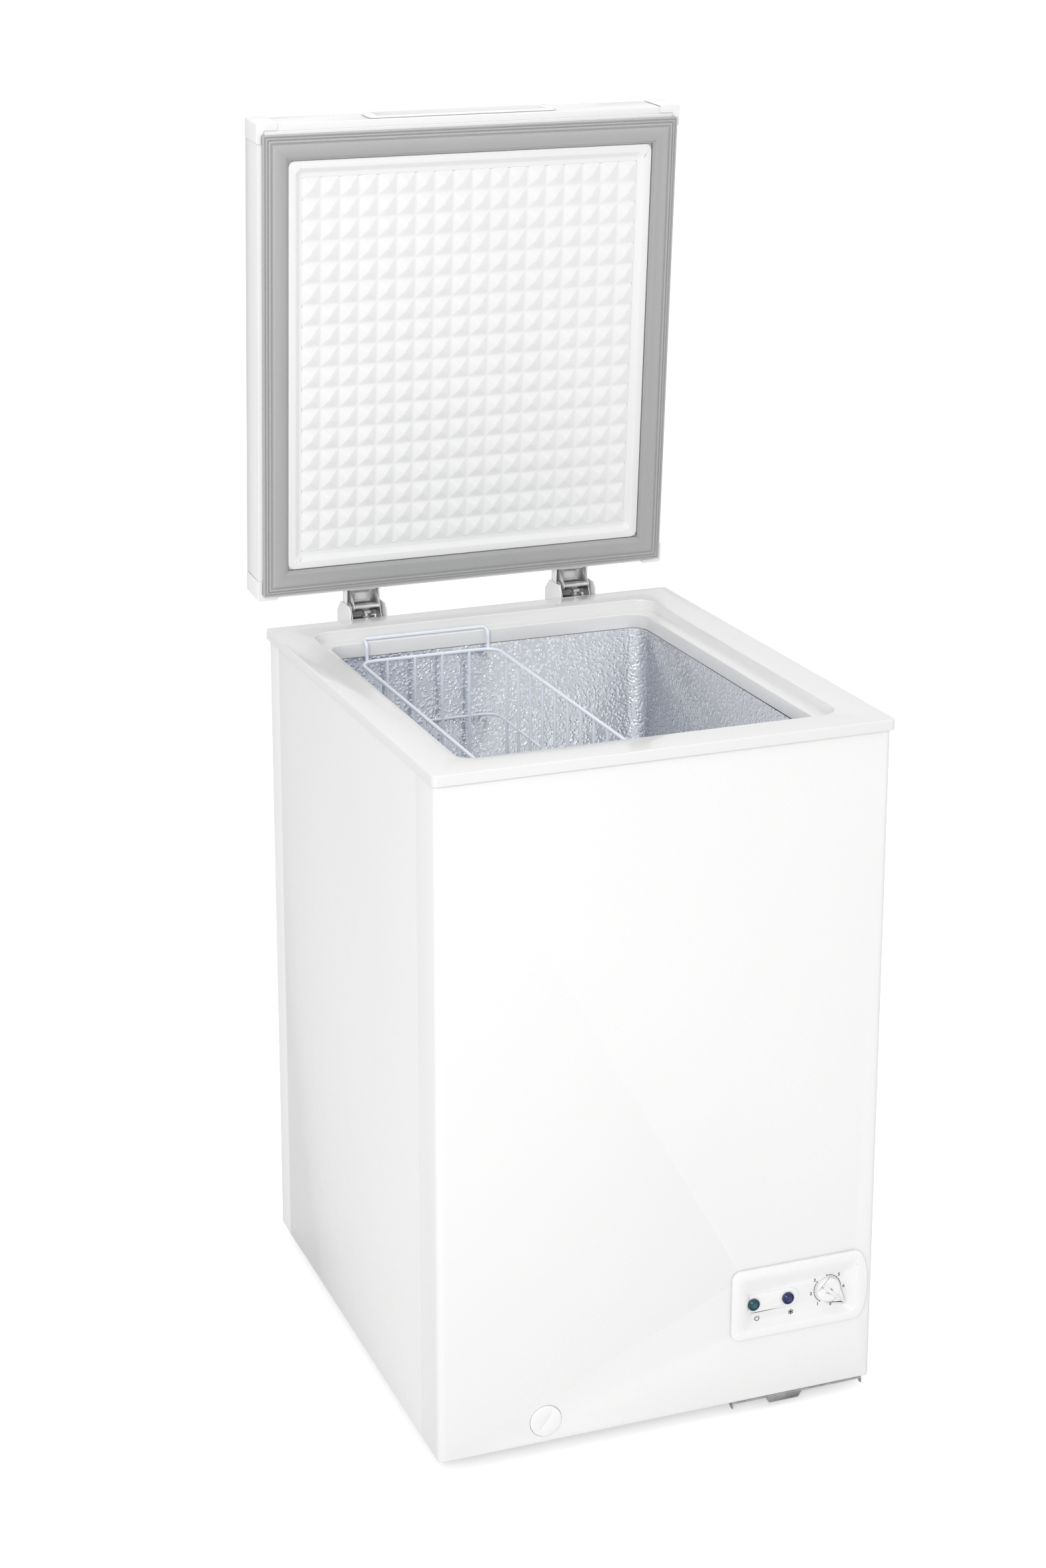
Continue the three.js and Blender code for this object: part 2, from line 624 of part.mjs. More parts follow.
function cabinetFoam() {
  const room = FRONT + SHEET + GAP
  const low = BOTTOM + SHEET + GAP
  const outer = insideWrap(low, WRAP_TOP).subtract(block(-HALF, HALF, REAR_INSIDE, BACK, 0, TOP + 1))
  const bay = block(BAY_X - SHEET - GAP, HALF, 0, BACK, 0, BAY_TOP + SHEET + GAP)
  const clear = COLLAR_WALL + GAP
  const step = collarRing(
    STEP_INSET - clear, LEDGE_Z - clear, TOP + 1, STEP_CORNER + clear,
  )
  const skirt = collarRing(
    MOUTH_INSET - clear, SKIRT_Z - GAP, TOP + 1, MOUTH_CORNER + clear,
  )
  const drain = tube(drainRoute(room - 1, TUB_FLOOR), DRAIN_PIPE_RADIUS + GAP, drainBend)
  const cap = rodY(DRAIN_RADIUS + GAP, DRAIN_X, DRAIN_HEIGHT, room - 1, room + 6, 32)
  return cut(outer, [
    bay, tubRoom(LINER_WALL + GAP, TOP + 1), step, skirt,
    evaporatorRoom(), condenserRoom(), drain, cap,
  ])
}

// ---------------------------------------------------------------- drain

const drainBend = { bend: DRAIN_BEND, sides: 12, chords: 3 }
const drainRoute = (front, top) => [
  [DRAIN_X, front, DRAIN_HEIGHT],
  [DRAIN_X, DRAIN_HOLE_Y, DRAIN_HEIGHT],
  [DRAIN_X, DRAIN_HOLE_Y, top],
]

function drainPipe() {
  const front = FRONT + SHEET + 8
  const top = TUB_FLOOR - LINER_WALL - GAP
  const wall = tube(drainRoute(front, top), DRAIN_PIPE_RADIUS, drainBend)
  return wall.subtract(tube(drainRoute(front - 1, top + 1), DRAIN_PIPE_BORE, drainBend))
}

// The sliding spout: a flanged tube that runs in the drain pipe.
function drainSlideTube() {
  const face = FRONT + SHEET + 0.7
  const body = latheY([
    [DRAIN_BORE, face], [DRAIN_RADIUS - 2, face], [DRAIN_RADIUS - 2, face + 2],
    [DRAIN_TUBE_RADIUS, face + 2], [DRAIN_TUBE_RADIUS, face + DRAIN_TUBE_LENGTH],
    [DRAIN_BORE, face + DRAIN_TUBE_LENGTH], [DRAIN_BORE, face],
  ], DRAIN_X, DRAIN_HEIGHT, 16)
  return body
}

// The dial: a disc with a coin slot and a stem that turns in the spout.
function drainDial() {
  const face = FRONT - DRAIN_PROUD
  const back = FRONT + SHEET + 0.4
  const disc = latheY([
    [0, face], [DRAIN_RADIUS - 1, face], [DRAIN_RADIUS, face + 1], [DRAIN_RADIUS, back],
    [DRAIN_BORE - GAP, back], [DRAIN_BORE - GAP, back + 12], [0, back + 12],
  ], DRAIN_X, DRAIN_HEIGHT, 28)
  const slot = solid(
    new THREE.BoxGeometry(20, 2, 1.6).rotateY(THREE.MathUtils.degToRad(-55))
      .translate(DRAIN_X, face, DRAIN_HEIGHT),
  )
  const notch = rodY(1.6, DRAIN_X - 8, DRAIN_HEIGHT - 16.5, face - 1, face + 1.2, 8)
  return cut(disc, [slot, notch])
}

function drainPlug() {
  const seat = TUB_FLOOR + GAP
  return latheZ([
    [0, seat - 12], [DRAIN_PIPE_BORE - 1.2, seat - 12], [DRAIN_PIPE_BORE - 0.6, seat],
    [PLUG_RADIUS, seat], [PLUG_RADIUS, seat + 2.5], [PLUG_RADIUS - 1.5, seat + 4], [0, seat + 4],
  ], DRAIN_X, DRAIN_HOLE_Y, 16)
}

// ---------------------------------------------------------------- base, feet and compressor

function basePlate() {
  const low = PLATE_TOP - PLATE
  const front = FRONT - 1
  const rimTop = PLATE_TOP + PLATE_RIM
  const rimFront = FRONT + SHEET + 4
  const flat = block(PLATE_LEFT, PLATE_RIGHT, front, PLATE_BACK, low, PLATE_TOP)
  const rims = [PLATE_LEFT, PLATE_RIGHT - PLATE].map((x) =>
    block(x, x + PLATE, rimFront, PLATE_BACK, PLATE_TOP - 0.5, rimTop),
  )
  const gussets = [PLATE_LEFT, PLATE_RIGHT - PLATE].map((x) =>
    hull([x, x + PLATE].flatMap((side) => [
      [side, front, low + 0.5], [side, front + GUSSET_DEPTH, low + 0.5],
      [side, front, low - GUSSET_DROP + 2], [side, front + 3, low - GUSSET_DROP + 2],
    ])),
  )
  const middle = (PLATE_LEFT + PLATE_RIGHT) / 2 - 17
  const tongue = prismY(outline([
    [middle - TONGUE_BOTTOM / 2, low - TONGUE_DROP + 2], [middle + TONGUE_BOTTOM / 2, low - TONGUE_DROP + 2],
    [middle + TONGUE_TOP / 2, low + 0.5], [middle - TONGUE_TOP / 2, low + 0.5],
  ]), front, front + PLATE)
  return join([flat, ...rims, ...gussets, tongue])
}

const foot = (x, y, top) => latheZ([
  [0, 0], [FOOT_RADIUS - 2, 0], [FOOT_RADIUS - 1, 1], [FOOT_RADIUS, top - 1.5],
  [FOOT_RADIUS, top], [0, top],
], x, y, 16)

function feet() {
  const rows = [FRONT + FOOT_INSET, BACK - FOOT_INSET]
  const left = -HALF + FOOT_INSET
  const right = HALF - FOOT_INSET
  rows.forEach((y, i) => {
    place(freezer, `foot_${i + 1}`, foot(left, y, BOTTOM - GAP), rubber)
    place(freezer, `foot_${i + 3}`, foot(right, y, PLATE_TOP - PLATE - GAP), rubber)
  })
}

const boltPlaces = [-1, 1].flatMap((a) =>
  [-1, 1].map((b) => [
    COMPRESSOR_X + (a * COMPRESSOR_BOLTS_X) / 2, COMPRESSOR_Y + (b * COMPRESSOR_BOLTS_Y) / 2,
  ]),
)
const stubPlaces = [-1, 1].map((side) => [
  COMPRESSOR_X + side * STUB_OFFSET, COMPRESSOR_Y - STUB_OFFSET,
])

function compressor() {
  const r = COMPRESSOR_RADIUS
  const z = SHELL_Z
  const top = SHELL_Z + COMPRESSOR_HEIGHT
  const seam = z + 0.45 * COMPRESSOR_HEIGHT
  const shell = latheZ([
    [0, z], [r - 18, z], [r - 4, z + 8], [r, z + 20], [r, seam], [r + 3, seam], [r + 3, seam + 4],
    [r, seam + 4], [r, top - 30], [r - 6, top - 14], [r - 22, top - 4], [0, top],
  ], COMPRESSOR_X, COMPRESSOR_Y, 20)
  const dx = COMPRESSOR_LEGS_X / 2
  const dy = COMPRESSOR_LEGS_Y / 2
  const legs = roundedBlock(
    COMPRESSOR_X - dx, COMPRESSOR_X + dx, COMPRESSOR_Y - dy, COMPRESSOR_Y + dy,
    LEG_Z + GAP, LEG_Z + GAP + LEG_SHEET, 12,
  )
  const pedestal = rodZ(r - 24, COMPRESSOR_X, COMPRESSOR_Y, LEG_Z + 2, z + 1)
  const stubs = stubPlaces.map(([x, y]) => rodZ(STUB_RADIUS, x, y, top - 40, STUB_TOP, 12))
  const holes = boltPlaces.map(([x, y]) => rodZ(GROMMET_NECK + 0.5, x, y, LEG_Z - 1, LEG_Z + 6, 16))
  return cut(join([shell, legs, pedestal, ...stubs]), holes)
}

const grommet = (x, y) => latheZ([
  [0, PLATE_TOP + GAP], [11, PLATE_TOP + GAP], [11, LEG_Z], [GROMMET_NECK, LEG_Z],
  [GROMMET_NECK, LEG_Z + LEG_SHEET + 4], [0, LEG_Z + LEG_SHEET + 4],
], x, y, 16)

function terminalCover() {
  const low = SHELL_Z + 55
  const reach = COMPRESSOR_Y - COMPRESSOR_RADIUS
  const box = roundedBlock(
    COMPRESSOR_X - 28, COMPRESSOR_X + 28, reach - 22, reach + 20, low, low + 56, 6,
  )
  return box.subtract(rodZ(COMPRESSOR_RADIUS + 3 + GAP, COMPRESSOR_X, COMPRESSOR_Y, 0, TOP, 56))
}

// A copper tube from a stub of the compressor up through the bay's roof.
function stubTube(stub, side, radius) {
  const [x, y] = stub
  const bendZ = (STUB_TOP + BAY_TOP) / 2
  return tube([
    [x, y, STUB_TOP + GAP], [x, y, bendZ - 8],
    [x + side * PIPE_OFFSET_X, y - PIPE_OFFSET_Y, bendZ + 8],
    [x + side * PIPE_OFFSET_X, y - PIPE_OFFSET_Y, BAY_TOP + 0.8],
  ], radius, { bend: 10, sides: 10 })
}

function filterDrier() {
  const [x, y] = roofHoles()[2]
  const top = BAY_TOP - 50
  const low = top - DRIER_LENGTH
  return latheZ([
    [0, low - 18], [2, low - 18], [2, low - 8], [DRIER_RADIUS, low], [DRIER_RADIUS, top],
    [3, top + 10], [3, BAY_TOP + 0.8], [0, BAY_TOP + 0.8],
  ], x, y, 16)
}

function capillaryTube() {
  const [x, y] = roofHoles()[2]
  const start = BAY_TOP - 50 - DRIER_LENGTH - 18 - GAP
  const low = start - 25
  return tube([
    [x, y, start], [x, y, low], [x + CAPILLARY_LOOP, y, low], [x + CAPILLARY_LOOP, y, BAY_TOP + 0.8],
  ], CAPILLARY_RADIUS, { bend: 12, sides: 6, chords: 4 })
}

const GRILLE_RIGHT = HALF - 6
const GLAND_X = GRILLE_RIGHT - 26
const GLAND_Z = BOTTOM + 24

function rearGrille() {
  const left = BAY_X - GRILLE_OVERLAP
  const face = BACK + GAP
  const plate = prismY(
    roundedOutline(left, GRILLE_RIGHT, BOTTOM + 2, BAY_TOP + GRILLE_OVERLAP, 4), face, face + GRILLE_SHEET,
  )
  const slots = []
  const low = BOTTOM + 46
  const pitch = (BAY_HEIGHT - 62) / GRILLE_SLOTS
  for (let i = 0; i < GRILLE_SLOTS; i++) {
    const z = low + i * pitch
    slots.push(block(left + 26, GRILLE_RIGHT - 20, face - 1, face + 5, z, z + GRILLE_SLOT_HEIGHT))
  }
  const hole = rodY(GLAND_RADIUS + GAP, GLAND_X, GLAND_Z, face - 1, face + 5, 16)
  return cut(plate, [...slots, hole])
}

// The bush where a mains lead leaves the bay.
function powerCordGland() {
  const face = BACK + 2 * GAP + GRILLE_SHEET
  return latheY([
    [GLAND_BORE, face - 8], [GLAND_RADIUS, face - 8], [GLAND_RADIUS, face],
    [GLAND_RADIUS + 2.5, face], [GLAND_RADIUS + 2.5, face + 2], [GLAND_BORE, face + 2],
    [GLAND_BORE, face - 8],
  ], GLAND_X, GLAND_Z, 12)
}

// ---------------------------------------------------------------- control panel

// The outline of the box behind the bezel's frame, which fills the window in the wrap.
const panelBox = (grow) => roundedOutline(
  RECESS.left - PANEL_WALL - grow, RECESS.right + PANEL_WALL + grow,
  RECESS.bottom - PANEL_WALL - grow, RECESS.top + PANEL_WALL + grow, RECESS_CORNER,
)

function panelOutline() {
  const right = PANEL_LEFT + PANEL_WIDTH
  const low = PANEL_Z - PANEL_HEIGHT / 2
  const high = PANEL_Z + PANEL_HEIGHT / 2
  const turn = right - PANEL_BULGE
  const shape = new THREE.Shape()
  shape.moveTo(PANEL_LEFT + PANEL_CORNER, low)
  shape.lineTo(turn, low)
  shape.bezierCurveTo(turn + 9, low, right, PANEL_Z - 24, right, PANEL_Z)
  shape.bezierCurveTo(right, PANEL_Z + 24, turn + 9, high, turn, high)
  const corner = PANEL_CORNER
  shape.absarc(PANEL_LEFT + corner, high - corner, corner, Math.PI / 2, Math.PI)
  shape.absarc(PANEL_LEFT + corner, low + corner, corner, Math.PI, 1.5 * Math.PI)
  return shape
}

function recessRoom() {
  const floor = {
    left: RECESS.left + SLOPE_LEFT, right: RECESS.right - SLOPE_RIGHT,
    bottom: RECESS.bottom + SLOPE_BOTTOM, top: RECESS.top - SLOPE_TOP,
  }
  const ring = (edge, radius, y) => roundedOutline(edge.left, edge.right, edge.bottom, edge.top, radius)
    .getPoints(4).map((p) => [p.x, y, p.y])
  return hull([...ring(RECESS, RECESS_CORNER, PANEL_FACE - 0.01), ...ring(floor, 4, PANEL_FLOOR)])
}

function panelBezel() {
  const frame = prismY(panelOutline(), PANEL_FACE, FRONT - GAP, 6)
  const box = prismY(panelBox(0), FRONT - 2 * GAP, PANEL_FLOOR + PANEL_WALL)
  const half = STRIP_HEIGHT / 2
  const stripLeft = RECESS.left + 5
  const stripRight = PANEL_LEFT + STRIP_END
  const strip = prismY(
    roundedOutline(stripLeft, stripRight, STRIP_Z - half, STRIP_Z + half, half - 0.1),
    STRIP_Y, PANEL_FLOOR + 1,
  )
  const stripRoot = block(stripLeft, stripLeft + half, STRIP_Y, PANEL_FLOOR + 1, STRIP_Z - half, STRIP_Z + half)
  const hollow = cut(join([frame, box]), [recessRoom()])
  const deep = PANEL_FLOOR + PANEL_WALL + 1
  const holes = LAMP_X.flatMap((x) => [
    rodY(LAMP_STEM + GAP, x, STRIP_Z, PANEL_FACE - 1, deep, 20),
    rodY(LAMP_RADIUS + GAP, x, STRIP_Z, PANEL_FACE - 1, STRIP_Y, 24),
  ])
  const shaft = rodY(SHAFT_RADIUS + GAP, KNOB_X, KNOB_Z, PANEL_FACE - 1, deep, 16)
  return cut(join([hollow, strip, stripRoot]), [...holes, shaft])
}

const lampLens = (x) => latheY([
  [0, STRIP_Y - GAP - 3], [4, STRIP_Y - GAP - 2.6], [LAMP_RADIUS - 0.6, STRIP_Y - GAP - 1.2],
  [LAMP_RADIUS, STRIP_Y - GAP], [LAMP_STEM, STRIP_Y - GAP], [LAMP_STEM, PANEL_FLOOR + PANEL_WALL],
  [0, PANEL_FLOOR + PANEL_WALL],
], x, STRIP_Z, 20)

function lampBoard() {
  const face = PANEL_FLOOR + PANEL_WALL + 3
  const board = block(LAMP_X[0] - 10, LAMP_X[1] + 12, face, face + 1.6, STRIP_Z - 10, STRIP_Z + 10)
  const lights = LAMP_X.map((x) => rodY(2.5, x, STRIP_Z, face - 2.5, face + 0.5, 12))
  return join([board, ...lights])
}

// A point at an angle and a distance from the knob's axis.
const onDial = (angle, reach, y) => [
  KNOB_X + reach * Math.cos(angle), y, KNOB_Z + reach * Math.sin(angle),
]

function thermostatKnob() {
  const back = PANEL_FLOOR - GAP
  const face = back - KNOB_DEPTH
  const disc = latheY([
    [0, face], [KNOB_RADIUS - 2, face], [KNOB_RADIUS, face + 2], [KNOB_RADIUS, back], [0, back],
  ], KNOB_X, KNOB_Z, 32)
  const rest = THREE.MathUtils.degToRad(KNOB_REST)
  const quarter = Math.PI / 2
  const nose = hull([face + NOSE_TOP, face + NOSE_BACK].flatMap((y) => [
    onDial(rest + 0.78 * quarter, KNOB_RADIUS - 1, y), onDial(rest - 0.78 * quarter, KNOB_RADIUS - 1, y),
    onDial(rest + 0.08, KNOB_NOSE, y), onDial(rest - 0.08, KNOB_NOSE, y),
  ]))
  const ridge = hull([
    onDial(rest + quarter, 3.5, face + 1), onDial(rest - quarter, 3.5, face + 1),
    onDial(rest + Math.PI - 0.25, KNOB_RADIUS - 1.5, face + 1),
    onDial(rest + Math.PI + 0.25, KNOB_RADIUS - 1.5, face + 1),
    onDial(rest, KNOB_NOSE - 1, face + 1), onDial(rest, KNOB_NOSE - 2, face - 2.5),
    onDial(rest + Math.PI, KNOB_RADIUS - 3, face - 4), onDial(rest + quarter, 1, face - 4),
    onDial(rest - quarter, 1, face - 4),
  ])
  const bore = rodY(SHAFT_RADIUS + GAP, KNOB_X, KNOB_Z, face - 1, back + 1, 16)
  return join([disc, nose, ridge]).subtract(bore)
}

function thermostatBody() {
  const face = PANEL_FLOOR + PANEL_WALL + GAP
  const half = THERMOSTAT_SIZE / 2
  const box = block(KNOB_X - half, KNOB_X + half, face, face + THERMOSTAT_DEPTH, KNOB_Z - half, KNOB_Z + half)
  const shaft = rodY(SHAFT_RADIUS, KNOB_X, KNOB_Z, PANEL_FLOOR - KNOB_DEPTH, face + 1, 16)
  return box.add(shaft)
}

// ---------------------------------------------------------------- lid, drawn closed

const lidBlock = (inset, z0, z1) => roundedBlock(
  -LID_HALF + inset, LID_HALF - inset, LID_FRONT + inset, LID_BACK - inset, z0, z1,
  Math.max(LID_CORNER - inset, 1),
)

const handleBox = (grow) => {
  const half = HANDLE_WIDTH / 2 - HANDLE_RIM + grow
  const tall = HANDLE_HEIGHT / 2 - HANDLE_WALL - 2 + grow
  return block(
    HANDLE_OFFSET - half, HANDLE_OFFSET + half, LID_FRONT - HANDLE_PROUD - 1,
    LID_FRONT + HANDLE_REACH + grow, HANDLE_Z - tall, HANDLE_Z + tall,
  )
}

function lidSkin() {
  const outer = lidBlock(0, FLANGE_Z, LID_TOP)
  return cut(outer, [
    lidBlock(SHEET, FLANGE_Z + SHEET, LID_TOP - SHEET),
    lidBlock(LID_FLANGE, FLANGE_Z - 1, FLANGE_Z + SHEET + 1),
    handleBox(HANDLE_WALL + GAP),
  ])
}

function lidFoam() {
  const room = lidBlock(SHEET + GAP, FLANGE_Z + SHEET + GAP, LID_TOP - SHEET - GAP)
  return room.subtract(handleBox(HANDLE_WALL + GAP))
}

function lidLiner() {
  const edge = LID_FLANGE - LINER_FLANGE_OVERLAP
  const plate = lidBlock(edge, LINER_Z, LINER_Z + LINER_PLATE)
  const half = GASKET.half - GASKET_WIDTH - GAP
  const front = GASKET.front + GASKET_WIDTH + GAP
  const back = GASKET.back - GASKET_WIDTH - GAP
  const rim = roundedBlock(-half, half, front, back, LINER_Z - LINER_RIM_HEIGHT, LINER_Z + 0.5, 8)
  const flat = LINER_RIM_WIDTH
  const low = LINER_Z - LINER_RIM_HEIGHT - 0.01
  const ring = (inset, radius, z) => roundedOutline(-half + inset, half - inset, front + inset, back - inset, radius)
    .getPoints(4).map((p) => [p.x, p.y, z])
  const field = hull([...ring(flat, 8, low), ...ring(flat + LINER_BEVEL, 5, LINER_Z)])
  return plate.add(rim).subtract(field)
}

function gasketRing(inset, z0, z1, radius) {
  return roundedBlock(
    -GASKET.half + inset, GASKET.half - inset, GASKET.front + inset, GASKET.back - inset, z0, z1, radius,
  )
}

function lidGasket() {
  const top = GASKET_Z + GASKET_HEIGHT
  return cut(gasketRing(0, GASKET_Z, top, 3), [gasketRing(GASKET_WIDTH, GASKET_Z - 1, top + 1, 6)])
}

// A corner cap wraps one corner of the lid from below. sx and sy say which corner.
function lidCorner(sx, sy) {
  const x = sx * (LID_HALF + CAP_PROUD_SIDE)
  const edgeY = sy < 0 ? LID_FRONT : LID_BACK
  const y = edgeY + sy * CAP_PROUD_END
  const [x0, x1] = [x, x - sx * CAP_LENGTH].sort((a, b) => a - b)
  const [y0, y1] = [y, y - sy * CAP_LENGTH].sort((a, b) => a - b)
  const low = FLANGE_Z - GAP - CAP_FACE
  const body = roundedBlock(x0, x1, y0, y1, low, LID_TOP - 3, 3)
  const edge = LID_FLANGE - LINER_FLANGE_OVERLAP - GAP
  return cut(body, [
    lidBlock(-GAP, FLANGE_Z - GAP, LID_TOP + 1),
    gasketRing(-GAP, low - 1, FLANGE_Z + 1, 3 + GAP),
    lidBlock(edge, low - 1, FLANGE_Z),
  ])
}

function lidHandle() {
  const half = HANDLE_WIDTH / 2
  const tall = HANDLE_HEIGHT / 2
  const rim = prismY(
    roundedOutline(HANDLE_OFFSET - half, HANDLE_OFFSET + half, HANDLE_Z - tall, HANDLE_Z + tall, 8),
    LID_FRONT - HANDLE_PROUD, LID_FRONT - GAP,
  )
  const box = handleBox(HANDLE_WALL).subtract(
    block(-LID_HALF, LID_HALF, LID_FRONT - 20, LID_FRONT - 2 * GAP, FLANGE_Z, LID_TOP),
  )
  return cut(join([rim, box]), [handleBox(0)])
}

// ---------------------------------------------------------------- hinges

const circle = (y, z, radius, count = 12) => Array.from({ length: count }, (_, i) => {
  const angle = (2 * Math.PI * i) / count
  return [y + radius * Math.cos(angle), z + radius * Math.sin(angle)]
})
const slab = (points, x0, x1) => hull([x0, x1].flatMap((x) => points.map(([y, z]) => [x, y, z])))

function hingeBracket(x) {
  const low = HINGE_Z - BRACKET_BELOW
  const back = HINGE_Y + 8
  const lipTop = TOP - COLLAR_LIP - 2
  const behindCollar = COLLAR_BACK + 1
  const web = HINGE_Z - 12
  const ears = [-1, 1].flatMap((side) => {
    const [x0, x1] = [x + side * BRACKET_HALF, x + side * (BRACKET_HALF - PLATE)].sort((a, b) => a - b)
    const upper = slab([
      ...circle(HINGE_Y, HINGE_Z, EYE_RADIUS + 0.5, 16), [back, web], [back, low],
      [back - BRACKET_DEPTH + 2, low], [behindCollar + 6, web - 4], [behindCollar, web - 14],
      [behindCollar, low],
    ], x0, x1)
    return [upper, block(x0, x1, BACK + GAP, behindCollar + 4, low + 6, lipTop)]
  })
  const inner = BRACKET_HALF - 0.5
  const webPlate = block(x - inner, x + inner, back - PLATE, back, low, web)
  const mount = block(x - BRACKET_HALF - 2, x + BRACKET_HALF + 2, BACK + GAP, BACK + GAP + PLATE, low + 6, lipTop)
  const lugZ = HINGE_Z - LUG_BELOW
  const lug = block(x - inner, x + inner, ROD_Y - 8, back - 0.5, lugZ, lugZ + 2)
  const windows = [-1, 1].map((side) => {
    const [x0, x1] = [x + side * 4, x + side * 13].sort((a, b) => a - b)
    return block(x0, x1, back - 5, back + 5, web - 44, web - 4)
  })
  return cut(join([...ears, webPlate, mount, lug]), [
    ...windows,
    rodX(PIN_RADIUS + PIN_CLEARANCE, HINGE_Y, HINGE_Z, x - 30, x + 30),
    rodZ(ROD_RADIUS + 0.5, x, ROD_Y, lugZ - 2, lugZ + 4, 12),
  ])
}

// The arm, drawn with the lid closed: a channel over the bracket with a crank bar across it.
function hingeArm(x) {
  const face = LID_BACK + GAP
  const web = HINGE_Z + ARM_RISE
  const ears = [-1, 1].map((side) => {
    const [x0, x1] = [x + side * ARM_HALF, x + side * (ARM_HALF - PLATE)].sort((a, b) => a - b)
    return slab([
      ...circle(HINGE_Y, HINGE_Z, EYE_RADIUS, 16),
      ...circle(HINGE_Y + CRANK_Y, HINGE_Z + CRANK_Z, CRANK_RADIUS + 1.5),
      [face, HINGE_Z + 4], [face, web], [HINGE_Y - 2, web],
    ], x0, x1)
  })
  const webPlate = block(x - ARM_HALF, x + ARM_HALF, face, HINGE_Y - 2, web - PLATE, web)
  const flange = block(x - ARM_HALF, x + ARM_HALF, face, face + PLATE, HINGE_Z + 5, HINGE_Z + ARM_FLANGE)
  const bar = rodX(CRANK_RADIUS, HINGE_Y + CRANK_Y, HINGE_Z + CRANK_Z, x - ARM_HALF + 0.5, x + ARM_HALF - 0.5, 12)
  const window = block(x - 9, x + 9, face + 5, HINGE_Y - 6, web - 5, web + 5)
  const bore = rodX(PIN_RADIUS + PIN_CLEARANCE, HINGE_Y, HINGE_Z, x - 30, x + 30)
  return cut(join([...ears, webPlate, flange, bar]), [window, bore])
}

const hingePin = (x) => rodX(PIN_RADIUS, HINGE_Y, HINGE_Z, x - BRACKET_HALF - 0.3, x + BRACKET_HALF + 0.3)

function hingeRod(x) {
  const collarZ = ROD_TOP - 8
  const shaft = latheZ([
    [0, HINGE_Z - LUG_BELOW - ROD_TAIL], [ROD_RADIUS, HINGE_Z - LUG_BELOW - ROD_TAIL], [ROD_RADIUS, collarZ],
    [SPRING_RADIUS, collarZ], [SPRING_RADIUS, collarZ + 2], [ROD_RADIUS, collarZ + 2],
    [ROD_RADIUS, ROD_TOP - 1], [0, ROD_TOP - 1],
  ], x, ROD_Y, 12)
  return shaft.add(block(
    x - 4, x + 4, ROD_Y - ROD_HEAD / 2, ROD_Y + ROD_HEAD / 2, ROD_TOP - 3, ROD_TOP,
  ))
}

function hingeSpring(x) {
  const low = HINGE_Z - LUG_BELOW + 2 + GAP
  const high = ROD_TOP - 8 - GAP
  const bore = ROD_RADIUS + 0.6
  return latheZ([
    [bore, low], [SPRING_RADIUS, low], [SPRING_RADIUS, high], [bore, high], [bore, low],
  ], x, ROD_Y, 16)
}

// The fixed cover: a tray round the bracket, open towards the cabinet and upwards.
function hingeCover(x) {
  const inner = BRACKET_HALF + COVER_CLEARANCE
  const outer = inner + COVER_WALL
  const low = HINGE_Z - LUG_BELOW - ROD_TAIL - ROD_TRAVEL - 2 * HOOD_CLEARANCE - COVER_WALL
  const high = HINGE_Z + 6
  const back = HINGE_Y + COVER_DEPTH
  const frontLow = BACK + GAP
  const frontHigh = COLLAR_BACK + 0.8
  const under = TOP - COLLAR_LIP - 2
  const side = [
    [frontLow, low], [back, low], [back, high - 14], [back - 14, high], [frontHigh + 6, high],
    [frontHigh, high - 6], [frontHigh, under], [frontLow, under],
  ]
  const tray = solid(extrude(outline(side), 2 * outer).applyMatrix4(CYCLE).translate(x - outer, 0, 0))
  const hollow = solid(extrude(outline([
    [frontLow - 9, low + COVER_WALL], [back - COVER_WALL, low + COVER_WALL],
    [back - COVER_WALL, high - 14], [back - 12, high + 9], [frontLow - 9, high + 9],
  ]), 2 * inner).applyMatrix4(CYCLE).translate(x - inner, 0, 0))
  return tray.subtract(hollow)
}

// Turns an outline in x and y, extruded along z, into one in y and z, extruded along x.
const CYCLE = new THREE.Matrix4().set(0, 0, 1, 0, 1, 0, 0, 0, 0, 1, 0, 0, 0, 0, 0, 1)

// The hood on the lid's back covers the arm.
function hingeHood(x) {
  const inner = BRACKET_HALF + HOOD_CLEARANCE
  const outer = inner + COVER_WALL
  const face = LID_BACK + GAP
  const high = HINGE_Z + HOOD_RISE + COVER_WALL
  const end = HINGE_Y + HOOD_REACH
  const shape = outline([
    [face, HINGE_Z + 4], [end - 4, HINGE_Z + 4], [end, HINGE_Z + 8], [end, high - 5], [end - 5, high],
    [face, high],
  ])
  const box = solid(extrude(shape, 2 * outer).applyMatrix4(CYCLE).translate(x - outer, 0, 0))
  return cut(box, [
    block(x - inner, x + inner, face - 9, end + 9, HINGE_Z - 9, HINGE_Z + HOOD_RISE),
    block(x - ARM_HALF - 1, x + ARM_HALF + 1, face - 1, face + PLATE + 1, HINGE_Z, high + 9),
  ])
}

function hinge(side, x) {
  place(freezer, `hinge_bracket_${side}`, hingeBracket(x), zinc)
  place(freezer, `hinge_pin_${side}`, hingePin(x), zinc)
  place(freezer, `hinge_rod_${side}`, hingeRod(x), zinc)
  place(freezer, `hinge_spring_${side}`, hingeSpring(x), galvanised)
  place(freezer, `hinge_cover_${side}`, hingeCover(x), whitePlastic)
  place(lid, `hinge_arm_${side}`, hingeArm(x), zinc)
  place(lid, `hinge_hood_${side}`, hingeHood(x), whitePlastic)
}

// ---------------------------------------------------------------- basket

// The wires are square here: a straight bar between two points that differ along one axis.
function bar(from, to, radius) {
  const low = from.map((value, k) => Math.min(value, to[k]) - radius)
  const high = from.map((value, k) => Math.max(value, to[k]) + radius)
  return block(low[0], high[0], low[1], high[1], low[2], high[2])
}

